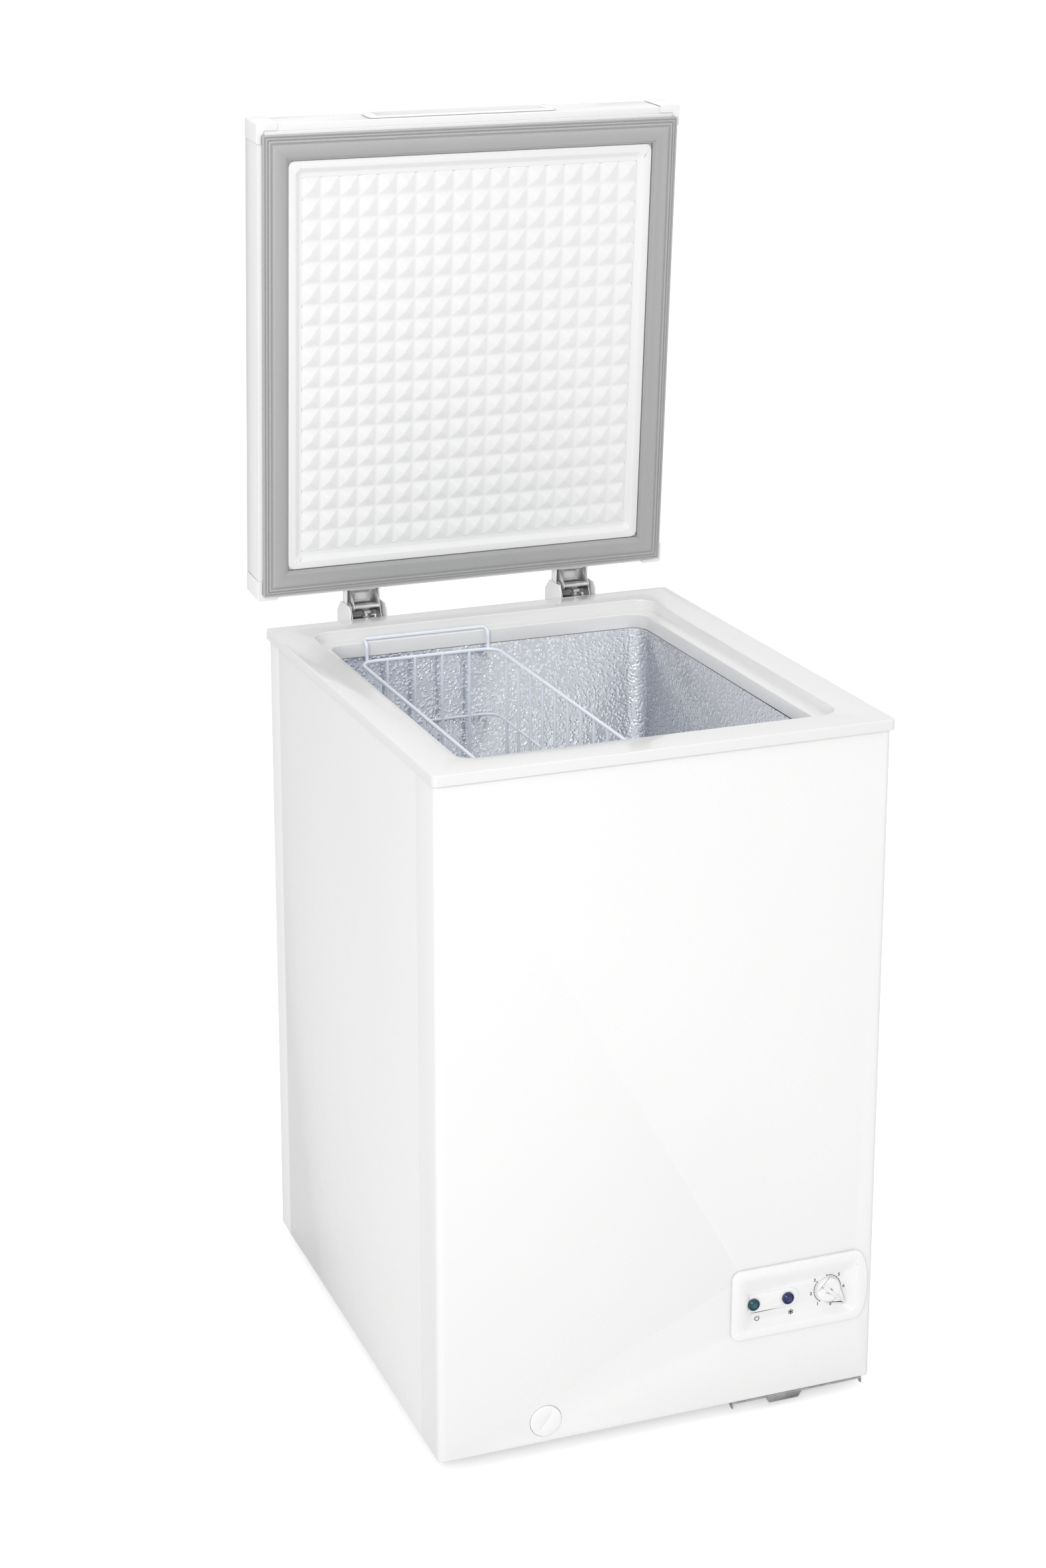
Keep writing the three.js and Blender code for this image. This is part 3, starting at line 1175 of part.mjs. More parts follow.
// Bars along a chain of points.
const bars = (points, radius) =>
  points.slice(1).map((point, i) => bar(points[i], point, radius))

function basket() {
  const rim = TOP - BASKET_RIM_DROP
  const floor = rim - BASKET_HEIGHT
  const front = TUB_FRONT + BASKET_INSET
  const back = TUB_BACK - BASKET_INSET
  const ring = (z, radius) => bars([
    [BASKET_LEFT, front, z], [BASKET_RIGHT, front, z], [BASKET_RIGHT, back, z],
    [BASKET_LEFT, back, z], [BASKET_LEFT, front, z],
  ], radius)
  const wires = [...ring(rim, BASKET_RIM_WIRE), ...ring(rim - BASKET_HEIGHT / 2, BASKET_WIRE)]
  const across = Math.round((back - front) / BASKET_PITCH)
  for (let i = 1; i < across; i++) {
    const y = front + (i * (back - front)) / across
    const [left, right] = [BASKET_LEFT + BASKET_SET_IN, BASKET_RIGHT - BASKET_SET_IN]
    wires.push(...bars([[left, y, rim], [left, y, floor], [right, y, floor], [right, y, rim]], BASKET_WIRE))
  }
  const along = Math.round((BASKET_RIGHT - BASKET_LEFT) / BASKET_PITCH)
  for (let i = 1; i < along; i++) {
    const x = BASKET_LEFT + (i * (BASKET_RIGHT - BASKET_LEFT)) / along
    const [near, far, low] = [front + BASKET_SET_IN, back - BASKET_SET_IN, floor - BASKET_SET_IN]
    wires.push(...bars([[x, near, rim], [x, near, low], [x, far, low], [x, far, rim]], BASKET_WIRE))
  }
  const hang = LEDGE_Z + GAP + BASKET_RIM_WIRE
  const reach = BASKET_INSET + COLLAR_LEDGE / 3
  for (const [edge, out] of [[front, -1], [back, 1]]) {
    const rest = edge + out * reach
    const foot = edge + out * BASKET_SET_IN
    wires.push(...bars([
      [BASKET_LEFT, foot, rim], [BASKET_LEFT, foot, hang], [BASKET_LEFT, rest, hang],
      [BASKET_RIGHT, rest, hang], [BASKET_RIGHT, foot, hang], [BASKET_RIGHT, foot, rim],
    ], BASKET_WIRE))
  }
  return join(wires)
}

// ---------------------------------------------------------------- assembly

place(freezer, 'cabinet_wrap', cabinetWrap(), whiteSteel)
place(freezer, 'back_panel', backPanel(), whiteSteel)
place(freezer, 'bottom_pan', bottomPan(), galvanised)
place(freezer, 'base_plate', basePlate(), galvanised)
place(freezer, 'cabinet_foam', cabinetFoam(), foam)
place(freezer, 'inner_liner', innerLiner(), embossedAluminium)
place(freezer, 'collar', collar(), whitePlastic)
place(freezer, 'evaporator_tube', evaporatorTube(), copper)
place(freezer, 'condenser_tube', condenserTube(), copper)
place(freezer, 'drain_pipe', drainPipe(), whitePlastic)
place(freezer, 'drain_slide_tube', drainSlideTube(), whitePlastic)
place(freezer, 'drain_dial', drainDial(), whitePlastic)
place(freezer, 'drain_plug', drainPlug(), whitePlastic)
feet()
place(freezer, 'compressor', compressor(), blackPaint)
boltPlaces.forEach(([x, y], i) => place(freezer, `compressor_grommet_${i + 1}`, grommet(x, y), rubber))
place(freezer, 'terminal_cover', terminalCover(), blackPlastic)
place(freezer, 'discharge_tube', stubTube(stubPlaces[0], -1, 2.5), copper)
place(freezer, 'suction_tube', stubTube(stubPlaces[1], 1, 3.2), copper)
place(freezer, 'filter_drier', filterDrier(), copper)
place(freezer, 'capillary_tube', capillaryTube(), copper)
place(freezer, 'rear_grille', rearGrille(), whitePlastic)
place(freezer, 'power_cord_gland', powerCordGland(), blackPlastic)
place(freezer, 'panel_bezel', panelBezel(), whitePlastic)
place(freezer, 'lamp_green', lampLens(LAMP_X[0]), greenLens)
place(freezer, 'lamp_blue', lampLens(LAMP_X[1]), blueLens)
place(freezer, 'lamp_board', lampBoard(), blackPlastic)
place(freezer, 'thermostat_knob', thermostatKnob(), whitePlastic)
place(freezer, 'thermostat_body', thermostatBody(), galvanised)
place(freezer, 'basket', basket(), coatedWire)
place(lid, 'lid_skin', lidSkin(), whiteSteel)
place(lid, 'lid_foam', lidFoam(), foam)
place(lid, 'lid_liner', lidLiner(), whitePlastic)
place(lid, 'lid_gasket', lidGasket(), greyGasket)
place(lid, 'lid_handle', lidHandle(), whitePlastic)
const corners = [[-1, -1], [1, -1], [-1, 1], [1, 1]]
corners.forEach(([sx, sy], i) => place(lid, `lid_corner_${i + 1}`, lidCorner(sx, sy), whitePlastic))
HINGES.forEach(([side, x]) => hinge(side, x))

// Centre the whole freezer, lid open, over the origin.
freezer.updateMatrixWorld(true)
const bounds = new THREE.Box3().setFromObject(freezer, true)
freezer.position.x = -(bounds.min.x + bounds.max.x) / 2
freezer.position.y = -(bounds.min.y + bounds.max.y) / 2

export default freezer
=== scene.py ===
"""Chest freezer with its lid standing open: formed details, finishes, studio light and camera."""
import json
import math

import bpy
from mathutils import Matrix, Vector

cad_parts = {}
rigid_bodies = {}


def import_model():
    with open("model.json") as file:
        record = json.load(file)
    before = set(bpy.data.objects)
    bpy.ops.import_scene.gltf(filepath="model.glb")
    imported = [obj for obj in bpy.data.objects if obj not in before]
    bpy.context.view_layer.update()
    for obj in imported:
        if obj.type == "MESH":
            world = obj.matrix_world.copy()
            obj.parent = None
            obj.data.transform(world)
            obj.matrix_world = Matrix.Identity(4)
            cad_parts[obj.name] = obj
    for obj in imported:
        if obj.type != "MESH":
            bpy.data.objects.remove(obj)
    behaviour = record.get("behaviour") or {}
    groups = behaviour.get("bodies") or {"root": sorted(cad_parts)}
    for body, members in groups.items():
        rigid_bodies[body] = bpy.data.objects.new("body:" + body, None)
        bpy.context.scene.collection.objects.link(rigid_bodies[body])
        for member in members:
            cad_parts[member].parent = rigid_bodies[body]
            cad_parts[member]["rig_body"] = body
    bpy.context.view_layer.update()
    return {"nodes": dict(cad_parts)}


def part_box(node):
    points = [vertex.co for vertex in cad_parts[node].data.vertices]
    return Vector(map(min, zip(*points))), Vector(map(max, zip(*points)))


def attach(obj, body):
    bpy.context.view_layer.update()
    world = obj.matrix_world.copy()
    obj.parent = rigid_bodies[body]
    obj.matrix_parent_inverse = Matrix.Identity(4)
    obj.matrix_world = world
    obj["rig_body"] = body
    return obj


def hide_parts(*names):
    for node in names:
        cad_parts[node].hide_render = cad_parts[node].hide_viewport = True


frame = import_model()
NODES = frame["nodes"]
MM = 0.001
SAME_POINT = 2e-6

# ---------------------------------------------------------------- places, all from the frame

COLLAR_LOW, COLLAR_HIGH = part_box("collar")
FRONT = COLLAR_LOW.y
CENTRE_X = (COLLAR_LOW.x + COLLAR_HIGH.x) / 2
PIN_LOW, PIN_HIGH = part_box("hinge_pin_left")
LID_AXIS = Vector((CENTRE_X, (PIN_LOW.y + PIN_HIGH.y) / 2, (PIN_LOW.z + PIN_HIGH.z) / 2))
LID_OPEN = math.radians(86.2)
OPENED = (
    Matrix.Translation(LID_AXIS)
    @ Matrix.Rotation(-LID_OPEN, 4, "X")
    @ Matrix.Translation(-LID_AXIS)
)


def at(x, y, z):
    """A point of the cabinet: millimetres from its middle, its collar's front edge and the floor."""
    return Vector((CENTRE_X + x * MM, FRONT + y * MM, z * MM))


# ---------------------------------------------------------------- working in edit mode


def only(obj):
    bpy.ops.object.select_all(action="DESELECT")
    obj.select_set(True)
    bpy.context.view_layer.objects.active = obj


def edit(obj, mode="FACE"):
    only(obj)
    bpy.ops.object.mode_set(mode="EDIT")
    bpy.ops.mesh.select_mode(type=mode)


def done():
    bpy.ops.object.mode_set(mode="OBJECT")
    return bpy.context.view_layer.objects.active


def pick_faces(obj, test):
    """Selects the faces whose centre and normal pass the test, then enters edit mode."""
    only(obj)
    for part in (obj.data.vertices, obj.data.edges, obj.data.polygons):
        part.foreach_set("select", [False] * len(part))
    for face in obj.data.polygons:
        face.select = test(face.center, face.normal)
    edit(obj)


def pick_points(obj, test):
    only(obj)
    for part in (obj.data.edges, obj.data.polygons, obj.data.vertices):
        part.foreach_set("select", [False] * len(part))
    for point in obj.data.vertices:
        point.select = test(point.co)
    edit(obj, "VERT")


def tidy(obj, turn_outwards=True):
    edit(obj)
    bpy.ops.mesh.select_all(action="SELECT")
    bpy.ops.mesh.remove_doubles(threshold=SAME_POINT)
    if turn_outwards:
        bpy.ops.mesh.normals_make_consistent(inside=False)
    return done()


def modify(obj, kind, **values):
    only(obj)
    made = obj.modifiers.new(kind.title(), kind)
    for name, value in values.items():
        setattr(made, name, value)
    bpy.ops.object.modifier_apply(modifier=made.name)
    return obj


def soften(obj, width, segments=2, angle=30):
    return modify(
        obj, "BEVEL", width=width * MM, segments=segments, limit_method="ANGLE",
        angle_limit=math.radians(angle), use_clamp_overlap=False, miter_outer="MITER_ARC",
    )


def smooth(obj, angle=35):
    only(obj)
    bpy.ops.object.shade_smooth_by_angle(angle=math.radians(angle))
    return obj


def settle(obj, name, body, finish, stands_for=(), angle=35):
    """The last step of every piece: its place goes into its mesh, and it rides on its body."""
    only(obj)
    bpy.ops.object.transform_apply(location=True, rotation=True, scale=True)
    smooth(obj, angle)
    obj.name = obj.data.name = name
    obj.data.materials.clear()
    obj.data.materials.append(finish)
    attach(obj, body)
    if stands_for:
        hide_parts(*stands_for)
    return obj


def joined(parts):
    bpy.ops.object.select_all(action="DESELECT")
    for part in parts:
        part.select_set(True)
    bpy.context.view_layer.objects.active = parts[0]
    bpy.ops.object.join()
    return parts[0]


def copied(node):
    """A CAD node's mesh as a new object, with its triangles merged into whole faces."""
    obj = bpy.data.objects.new(node + "_copy", NODES[node].data.copy())
    bpy.context.scene.collection.objects.link(obj)
    edit(obj)
    bpy.ops.mesh.select_all(action="SELECT")
    bpy.ops.mesh.remove_doubles(threshold=SAME_POINT)
    bpy.ops.mesh.tris_convert_to_quads(face_threshold=math.radians(1), shape_threshold=math.pi)
    return done()


def box_between(low, high):
    bpy.ops.object.select_all(action="DESELECT")
    bpy.ops.mesh.primitive_cube_add(size=1, location=(low + high) / 2)
    obj = bpy.context.object
    obj.scale = high - low
    bpy.ops.object.transform_apply(location=True, rotation=True, scale=True)
    return obj


def disc(centre, radius, depth, sides=48):
    """A short round bar along Y, its front face towards the room."""
    bpy.ops.object.select_all(action="DESELECT")
    bpy.ops.mesh.primitive_cylinder_add(
        vertices=sides, radius=radius * MM, depth=depth * MM, location=centre,
        rotation=(math.pi / 2, 0, 0),
    )
    obj = bpy.context.object
    bpy.ops.object.transform_apply(location=True, rotation=True, scale=True)
    return obj


def rounded(points, radius, closed=False, steps=5):
    """The points of a bent wire: each corner becomes an arc of the given radius."""
    count = len(points)
    path = []
    for i, point in enumerate(points):
        if not closed and i in (0, count - 1):
            path.append(point)
            continue
        before, after = points[i - 1] - point, points[(i + 1) % count] - point
        reach = min(radius * MM, before.length * 0.45, after.length * 0.45)
        start = point + before.normalized() * reach
        end = point + after.normalized() * reach
        for step in range(steps + 1):
            t = step / steps
            path.append(start * (1 - t) ** 2 + point * 2 * t * (1 - t) + end * t ** 2)
    return path


def wire(points, radius, closed=False, sides=3):
    """A round wire along the points, as a closed mesh."""
    curve = bpy.data.curves.new("wire", "CURVE")
    curve.dimensions = "3D"
    curve.bevel_depth = radius * MM
    curve.bevel_resolution = sides
    curve.use_fill_caps = not closed
    spline = curve.splines.new("POLY")
    spline.points.add(len(points) - 1)
    for target, point in zip(spline.points, points):
        target.co = (*point, 1)
    spline.use_cyclic_u = closed
    obj = bpy.data.objects.new("wire", curve)
    bpy.context.scene.collection.objects.link(obj)
    only(obj)
    bpy.ops.object.convert(target="MESH")
    return tidy(bpy.context.object)


# ---------------------------------------------------------------- shared effects


def new_group(name, inputs, outputs):
    tree = bpy.data.node_groups.new(name, "ShaderNodeTree")
    for label, kind, value in inputs:
        socket = tree.interface.new_socket(label, in_out="INPUT", socket_type=kind)
        socket.default_value = value
    for label, kind in outputs:
        tree.interface.new_socket(label, in_out="OUTPUT", socket_type=kind)
    return tree, tree.nodes.new("NodeGroupInput").outputs, tree.nodes.new("NodeGroupOutput").inputs


def node(tree, kind, links=(), **values):
    """A shader node. Names in values are its settings, and links maps sockets to outputs or numbers."""
    made = tree.nodes.new("ShaderNode" + kind)
    for name, value in values.items():
        setattr(made, name, value)
    for name, value in dict(links).items():
        if isinstance(value, bpy.types.NodeSocket):
            tree.links.new(value, made.inputs[name])
        else:
            made.inputs[name].default_value = value
    return made


FLOAT, COLOUR = "NodeSocketFloat", "NodeSocketColor"
VECTOR = "NodeSocketVector"


def make_skin_group():
    """Fine grain, slow patches of shade and gloss, and soft waviness of a coated or moulded face."""
    tree, given, put = new_group(
        "coated skin",
        [("Colour", COLOUR, (1, 1, 1, 1)), ("Shade", COLOUR, (1, 1, 1, 1)),
         ("Grain Scale", FLOAT, 900), ("Patch Scale", FLOAT, 6), ("Smooth", FLOAT, 0.3),
         ("Rough", FLOAT, 0.45), ("Grain Relief", FLOAT, 0.00002), ("Wave Relief", FLOAT, 0.0001)],
        [("Colour", COLOUR), ("Roughness", FLOAT), ("Normal", VECTOR)],
    )
    place = node(tree, "TexCoord").outputs["Object"]
    grain = node(tree, "TexNoise", {"Vector": place, "Scale": given["Grain Scale"], "Detail": 3})
    patch = node(tree, "TexNoise", {"Vector": place, "Scale": given["Patch Scale"], "Detail": 4})
    mixed = node(tree, "Mix", {0: patch.outputs[0], 6: given["Colour"], 7: given["Shade"]},
                 data_type="RGBA")
    both = node(tree, "Math", {0: grain.outputs[0], 1: patch.outputs[0]}, operation="MULTIPLY")
    rough = node(tree, "MapRange", {0: both.outputs[0], 1: 0.1, 2: 0.45, 3: given["Smooth"],
                                    4: given["Rough"]})
    wave = node(tree, "Bump", {"Height": patch.outputs[0], "Distance": given["Wave Relief"]})
    fine = node(tree, "Bump", {"Height": grain.outputs[0], "Distance": given["Grain Relief"],
                               "Normal": wave.outputs[0]})
    tree.links.new(mixed.outputs[2], put["Colour"])
    tree.links.new(rough.outputs[0], put["Roughness"])
    tree.links.new(fine.outputs[0], put["Normal"])
    return tree


def make_wear_group():
    """A mask of rubbed edges and corners, broken up so that it never runs as an even line."""
    tree, given, put = new_group(
        "rubbed edges", [("Spread", FLOAT, 0.56), ("Breakup Scale", FLOAT, 220)], [("Mask", FLOAT)],
    )
    place = node(tree, "TexCoord").outputs["Object"]
    point = node(tree, "NewGeometry").outputs["Pointiness"]
    breakup = node(tree, "TexNoise", {"Vector": place, "Scale": given["Breakup Scale"], "Detail": 4})
    edge = node(tree, "MapRange", {0: point, 1: 0.5, 2: given["Spread"], 3: 0, 4: 1})
    both = node(tree, "Math", {0: edge.outputs[0], 1: breakup.outputs[0]}, operation="MULTIPLY")
    tree.links.new(both.outputs[0], put["Mask"])
    return tree


def make_spangle_group():
    """The crystal flakes of galvanised sheet, with a drawn grain along one way."""
    tree, given, put = new_group(
        "zinc spangle",
        [("Dark", COLOUR, (0.4, 0.4, 0.4, 1)), ("Light", COLOUR, (0.7, 0.7, 0.7, 1)),
         ("Flake Scale", FLOAT, 110), ("Relief", FLOAT, 0.00003)],
        [("Colour", COLOUR), ("Roughness", FLOAT), ("Normal", VECTOR)],
    )
    place = node(tree, "TexCoord").outputs["Object"]
    flake = node(tree, "TexVoronoi", {"Vector": place, "Scale": given["Flake Scale"]})
    tone = node(tree, "RGBToBW", {0: flake.outputs["Color"]})
    drawn = node(tree, "Mapping", {"Vector": place, "Scale": (60, 900, 900)})
    lines = node(tree, "TexNoise", {"Vector": drawn.outputs[0], "Scale": 1, "Detail": 3})
    both = node(tree, "Mix", {0: 0.35, 2: tone.outputs[0], 3: lines.outputs[0]})
    mixed = node(tree, "Mix", {0: both.outputs[0], 6: given["Dark"], 7: given["Light"]},
                 data_type="RGBA")
    rough = node(tree, "MapRange", {0: both.outputs[0], 1: 0, 2: 1, 3: 0.28, 4: 0.5})
    bump = node(tree, "Bump", {"Height": both.outputs[0], "Distance": given["Relief"]})
    tree.links.new(mixed.outputs[2], put["Colour"])
    tree.links.new(rough.outputs[0], put["Roughness"])
    tree.links.new(bump.outputs[0], put["Normal"])
    return tree


SKIN = make_skin_group()
WEAR = make_wear_group()
SPANGLE = make_spangle_group()


def material(name, **sockets):
    made = bpy.data.materials.new(name)
    made.use_nodes = True
    tree = made.node_tree
    shader = tree.nodes["Principled BSDF"]
    for label, value in sockets.items():
        shader.inputs[label.replace("_", " ")].default_value = value
    return made, tree, shader


def placed(tree, group, **values):
    made = tree.nodes.new("ShaderNodeGroup")
    made.node_tree = group
    for label, value in values.items():
        made.inputs[label.replace("_", " ")].default_value = value
    return made


def grey(value, warm=0.0):
    return (value + warm, value, value - warm, 1)


def coated(name, colour, shade, grain, patch, gloss, relief=0.00002, wave=0.0001, worn=None, **sockets):
    """A painted, moulded or rubber finish: the coated skin, with rubbed edges where asked."""
    made, tree, shader = material(name, **sockets)
    skin = placed(tree, SKIN, Colour=colour, Shade=shade, Grain_Scale=grain, Patch_Scale=patch,
                  Smooth=gloss[0], Rough=gloss[1], Grain_Relief=relief, Wave_Relief=wave)
    paint = skin.outputs["Colour"]
    if worn:
        rubbed = placed(tree, WEAR, Spread=0.56, Breakup_Scale=260)
        paint = node(tree, "Mix", {0: rubbed.outputs["Mask"], 6: paint, 7: worn},
                     data_type="RGBA").outputs[2]
    tree.links.new(paint, shader.inputs["Base Color"])
    tree.links.new(skin.outputs["Roughness"], shader.inputs["Roughness"])
    tree.links.new(skin.outputs["Normal"], shader.inputs["Normal"])
    return made


def plated(name, dark, light, flake, relief=0.00003, **sockets):
    made, tree, shader = material(name, Metallic=1.0, **sockets)
    zinc = placed(tree, SPANGLE, Dark=dark, Light=light, Flake_Scale=flake, Relief=relief)
    tree.links.new(zinc.outputs["Colour"], shader.inputs["Base Color"])
    tree.links.new(zinc.outputs["Roughness"], shader.inputs["Roughness"])
    tree.links.new(zinc.outputs["Normal"], shader.inputs["Normal"])
    return made


def stucco():
    """Rolled aluminium with a pebbled embossing, with a painted highlight that makes it bright on the
    pebbles and painted shade that makes it duller between them.
    """
    made, tree, shader = material("embossed aluminium", Metallic=1.0)
    place = node(tree, "TexCoord").outputs["Object"]
    wander = node(tree, "TexNoise", {"Vector": place, "Scale": 130, "Detail": 2})
    shift = node(tree, "Mix", {0: 0.006, 4: place, 5: wander.outputs["Color"]}, data_type="VECTOR")
    pebble = node(tree, "TexVoronoi", {"Vector": shift.outputs[1], "Scale": 270, "Smoothness": 0.7},
                  feature="SMOOTH_F1")
    slow = node(tree, "TexNoise", {"Vector": place, "Scale": 9, "Detail": 3})
    dome = node(tree, "MapRange", {0: pebble.outputs["Distance"], 1: 0.55, 2: 0.1, 3: 0, 4: 1})
    # painted highlight on the pebble tops and painted shade in the hollows between them, following the
    # pebble height
    colour = node(tree, "Mix", {0: dome.outputs[0], 6: (0.62, 0.645, 0.70, 1), 7: (0.86, 0.88, 0.92, 1)},
                  data_type="RGBA")
    rough = node(tree, "MapRange", {0: slow.outputs[0], 1: 0.3, 2: 0.7, 3: 0.2, 4: 0.34})
    wave = node(tree, "Bump", {"Height": slow.outputs[0], "Distance": 0.002})
    bump = node(tree, "Bump", {"Height": dome.outputs[0], "Distance": 0.0005, "Normal": wave.outputs[0]})
    tree.links.new(colour.outputs[2], shader.inputs["Base Color"])
    tree.links.new(rough.outputs[0], shader.inputs["Roughness"])
    tree.links.new(bump.outputs[0], shader.inputs["Normal"])
    return made


def lens(name, deep, bright, centre):
    """A tinted lens: deep at its rim, brighter over the bulb behind its middle."""
    made, tree, shader = material(name, Coat_Weight=0.35, Coat_Roughness=0.05)
    place = node(tree, "TexCoord").outputs["Object"]
    away = node(tree, "VectorMath", {0: place, 1: centre}, operation="DISTANCE")
    cloud = node(tree, "TexNoise", {"Vector": place, "Scale": 420, "Detail": 2})
    wobble = node(tree, "Math", {0: cloud.outputs[0], 1: 0.0016}, operation="MULTIPLY")
    reach = node(tree, "Math", {0: away.outputs["Value"], 1: wobble.outputs[0]}, operation="ADD")
    ring = node(tree, "MapRange", {0: reach.outputs[0], 1: 0.0022, 2: 0.0062, 3: 1, 4: 0})
    colour = node(tree, "Mix", {0: ring.outputs[0], 6: deep, 7: bright}, data_type="RGBA")
    rough = node(tree, "MapRange", {0: cloud.outputs[0], 1: 0.3, 2: 0.7, 3: 0.08, 4: 0.2})
    tree.links.new(colour.outputs[2], shader.inputs["Base Color"])
    tree.links.new(rough.outputs[0], shader.inputs["Roughness"])
    return made


LAMP_GREEN = (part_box("lamp_green")[0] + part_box("lamp_green")[1]) / 2
LAMP_BLUE = (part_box("lamp_blue")[0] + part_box("lamp_blue")[1]) / 2

FINISH = {
    "white_steel": coated("white painted steel", grey(0.83, 0.002), grey(0.80, 0.001), 1500, 5,
                          (0.24, 0.38), 0.000012, 0.0004, Coat_Weight=0.25, Coat_Roughness=0.15),
    "galvanised_steel": plated("galvanised sheet", grey(0.36), grey(0.62), 120),
    "foam": coated("rigid foam", (0.83, 0.74, 0.5, 1), (0.74, 0.62, 0.38, 1), 420, 18, (0.8, 0.95),
                   0.0006),
    "embossed_aluminium": stucco(),
    "collar_plastic": coated("glossy collar moulding", grey(0.77, 0.002), grey(0.74, 0.002), 700, 7,
                             (0.12, 0.24), 0.000006, 0.0002, Coat_Weight=0.6, Coat_Roughness=0.06),
    "white_plastic": coated("satin white moulding", grey(0.84, 0.001), grey(0.80, 0.001), 1100, 14,
                            (0.34, 0.5), 0.00002, 0.00012, worn=grey(0.9)),
    "copper": coated("bare copper tube", (0.78, 0.36, 0.2, 1), (0.5, 0.2, 0.1, 1), 300, 30, (0.2, 0.5),
                     0.00003, Metallic=1.0, worn=(0.9, 0.55, 0.36, 1)),
    "compressor_black": coated("satin black shell", grey(0.02), grey(0.032), 900, 12, (0.3, 0.5),
                               0.00004, worn=grey(0.09)),
    "black_plastic": coated("matt black moulding", grey(0.025), grey(0.04), 1300, 20, (0.45, 0.65),
                            0.00004, worn=grey(0.1)),
    "black_rubber": coated("black rubber", grey(0.03), grey(0.05), 800, 24, (0.6, 0.85), 0.00006,
                           worn=grey(0.11)),
    "gasket_grey": coated("grey door seal", grey(0.40), grey(0.36), 500, 10, (0.34, 0.5), 0.00002,
                          0.0002, worn=grey(0.5)),
    "bright_zinc": plated("bright zinc plate", grey(0.58), grey(0.86), 420, 0.00001),
    "green_lens": lens("green lens", (0.0, 0.045, 0.06, 1), (0.0, 0.3, 0.3, 1), LAMP_GREEN),
    "blue_lens": lens("blue lens", (0.004, 0.01, 0.08, 1), (0.015, 0.05, 0.3, 1), LAMP_BLUE),
    "coated_wire": coated("wire coating", (0.80, 0.84, 0.9, 1), (0.74, 0.79, 0.87, 1), 700, 25,
                          (0.2, 0.35), 0.00003, 0.00008, Coat_Weight=0.4, Coat_Roughness=0.12),
}
PRINT = coated("panel print", grey(0.012), grey(0.03), 1600, 60, (0.5, 0.7), 0.00002)

SLOT_OF = {}
for name, part in NODES.items():
    SLOT_OF[name] = part.data.materials[0].name.split(".")[0]
    part.data.materials[0] = FINISH[SLOT_OF[name]]


def formed(node_name, width, segments=2, shape=None):
    """A CAD node drawn again with the small radii of the real piece."""
    obj = copied(node_name)
    if shape:
        shape(obj)
    if width:
        soften(obj, width, segments)
    slot = SLOT_OF[node_name]
    body = NODES[node_name]["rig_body"]
    return settle(tidy(obj, False), node_name + "_formed", body, FINISH[slot], [node_name])


# ---------------------------------------------------------------- cabinet


CREASE_PLACES = (61, 545)
CREASE_HALF = 1.6
CREASE_DEPTH = 0.45


def crease_sides(obj):
    """The shallow vertical creases near the front and rear of each side panel."""
    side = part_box("cabinet_wrap")[1].x - CENTRE_X
    for y in CREASE_PLACES:
        for offset in (-CREASE_HALF, 0, CREASE_HALF):
            edit(obj)
            bpy.ops.mesh.select_all(action="SELECT")
            bpy.ops.mesh.bisect(plane_co=at(0, y + offset, 0), plane_no=(0, 1, 0))
            done()
        for hand in (-1, 1):
            pick_points(obj, lambda p: abs(p.y - at(0, y, 0).y) < 1e-4
                        and abs(p.x - CENTRE_X - hand * side) < 1e-4)
            bpy.ops.transform.translate(value=(-hand * CREASE_DEPTH * MM, 0, 0))
            done()


formed("cabinet_wrap", 0.9, 3, crease_sides)
formed("back_panel", 0.3, 1)
formed("collar", 1.3, 3)
formed("inner_liner", 0)
formed("base_plate", 0.3, 1)
formed("rear_grille", 0.4, 2)
formed("bottom_pan", 0)
formed("compressor", 0)
formed("terminal_cover", 1.5, 3)
for number in (1, 2, 3, 4):
    formed(f"foot_{number}", 1.2, 3)
    formed(f"compressor_grommet_{number}", 1.0, 2)
formed("drain_dial", 0.5, 2)
formed("panel_bezel", 0.8, 3)
formed("thermostat_knob", 0.6, 3)


def screw(centre, radius, name):
    """A pan-head screw on the rear face, with a crossed recess."""
    head = disc(centre, radius, 2.2, 24)
    pick_faces(head, lambda c, n: n.y > 0.9)
    bpy.ops.mesh.inset(thickness=radius * 0.28 * MM, depth=0.5 * MM)
    done()
    soften(head, 0.3, 2, 40)
    tools = []
    for long, tall in ((0.62, 0.16), (0.16, 0.62)):
        reach = Vector((radius * long, 1.2, radius * tall)) * MM
        middle = centre + Vector((0, 1.3 * MM, 0))
        tools.append(box_between(middle - reach, middle + reach))
    for tool in tools:
        modify(head, "BOOLEAN", operation="DIFFERENCE", solver="EXACT", object=tool)
        bpy.data.objects.remove(tool)
    return settle(tidy(head), name, "cabinet", FINISH["bright_zinc"])


SCREW_RADIUS = 4
SCREW_PROUD = 0.9
SCREW_FROM_SIDE, SCREW_FROM_FOOT, SCREW_FROM_TOP = 6, 12, 8
GRILLE_LOW, GRILLE_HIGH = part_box("rear_grille")
number = 0
for z in (GRILLE_LOW.z + SCREW_FROM_FOOT * MM, GRILLE_HIGH.z - SCREW_FROM_TOP * MM):
    for x in (GRILLE_LOW.x + SCREW_FROM_SIDE * MM, GRILLE_HIGH.x - SCREW_FROM_SIDE * MM):
        number += 1
        screw(Vector((x, GRILLE_HIGH.y + SCREW_PROUD * MM, z)), SCREW_RADIUS, f"grille_screw_{number}")

# ---------------------------------------------------------------- lid, shaped closed and then opened


def opened(obj):
    obj.data.transform(OPENED)
    return obj


WAFFLE_CELLS = 18
WAFFLE_VALLEY = 1.1
WAFFLE_RUN = 9.6
WAFFLE_RISE = 4.3


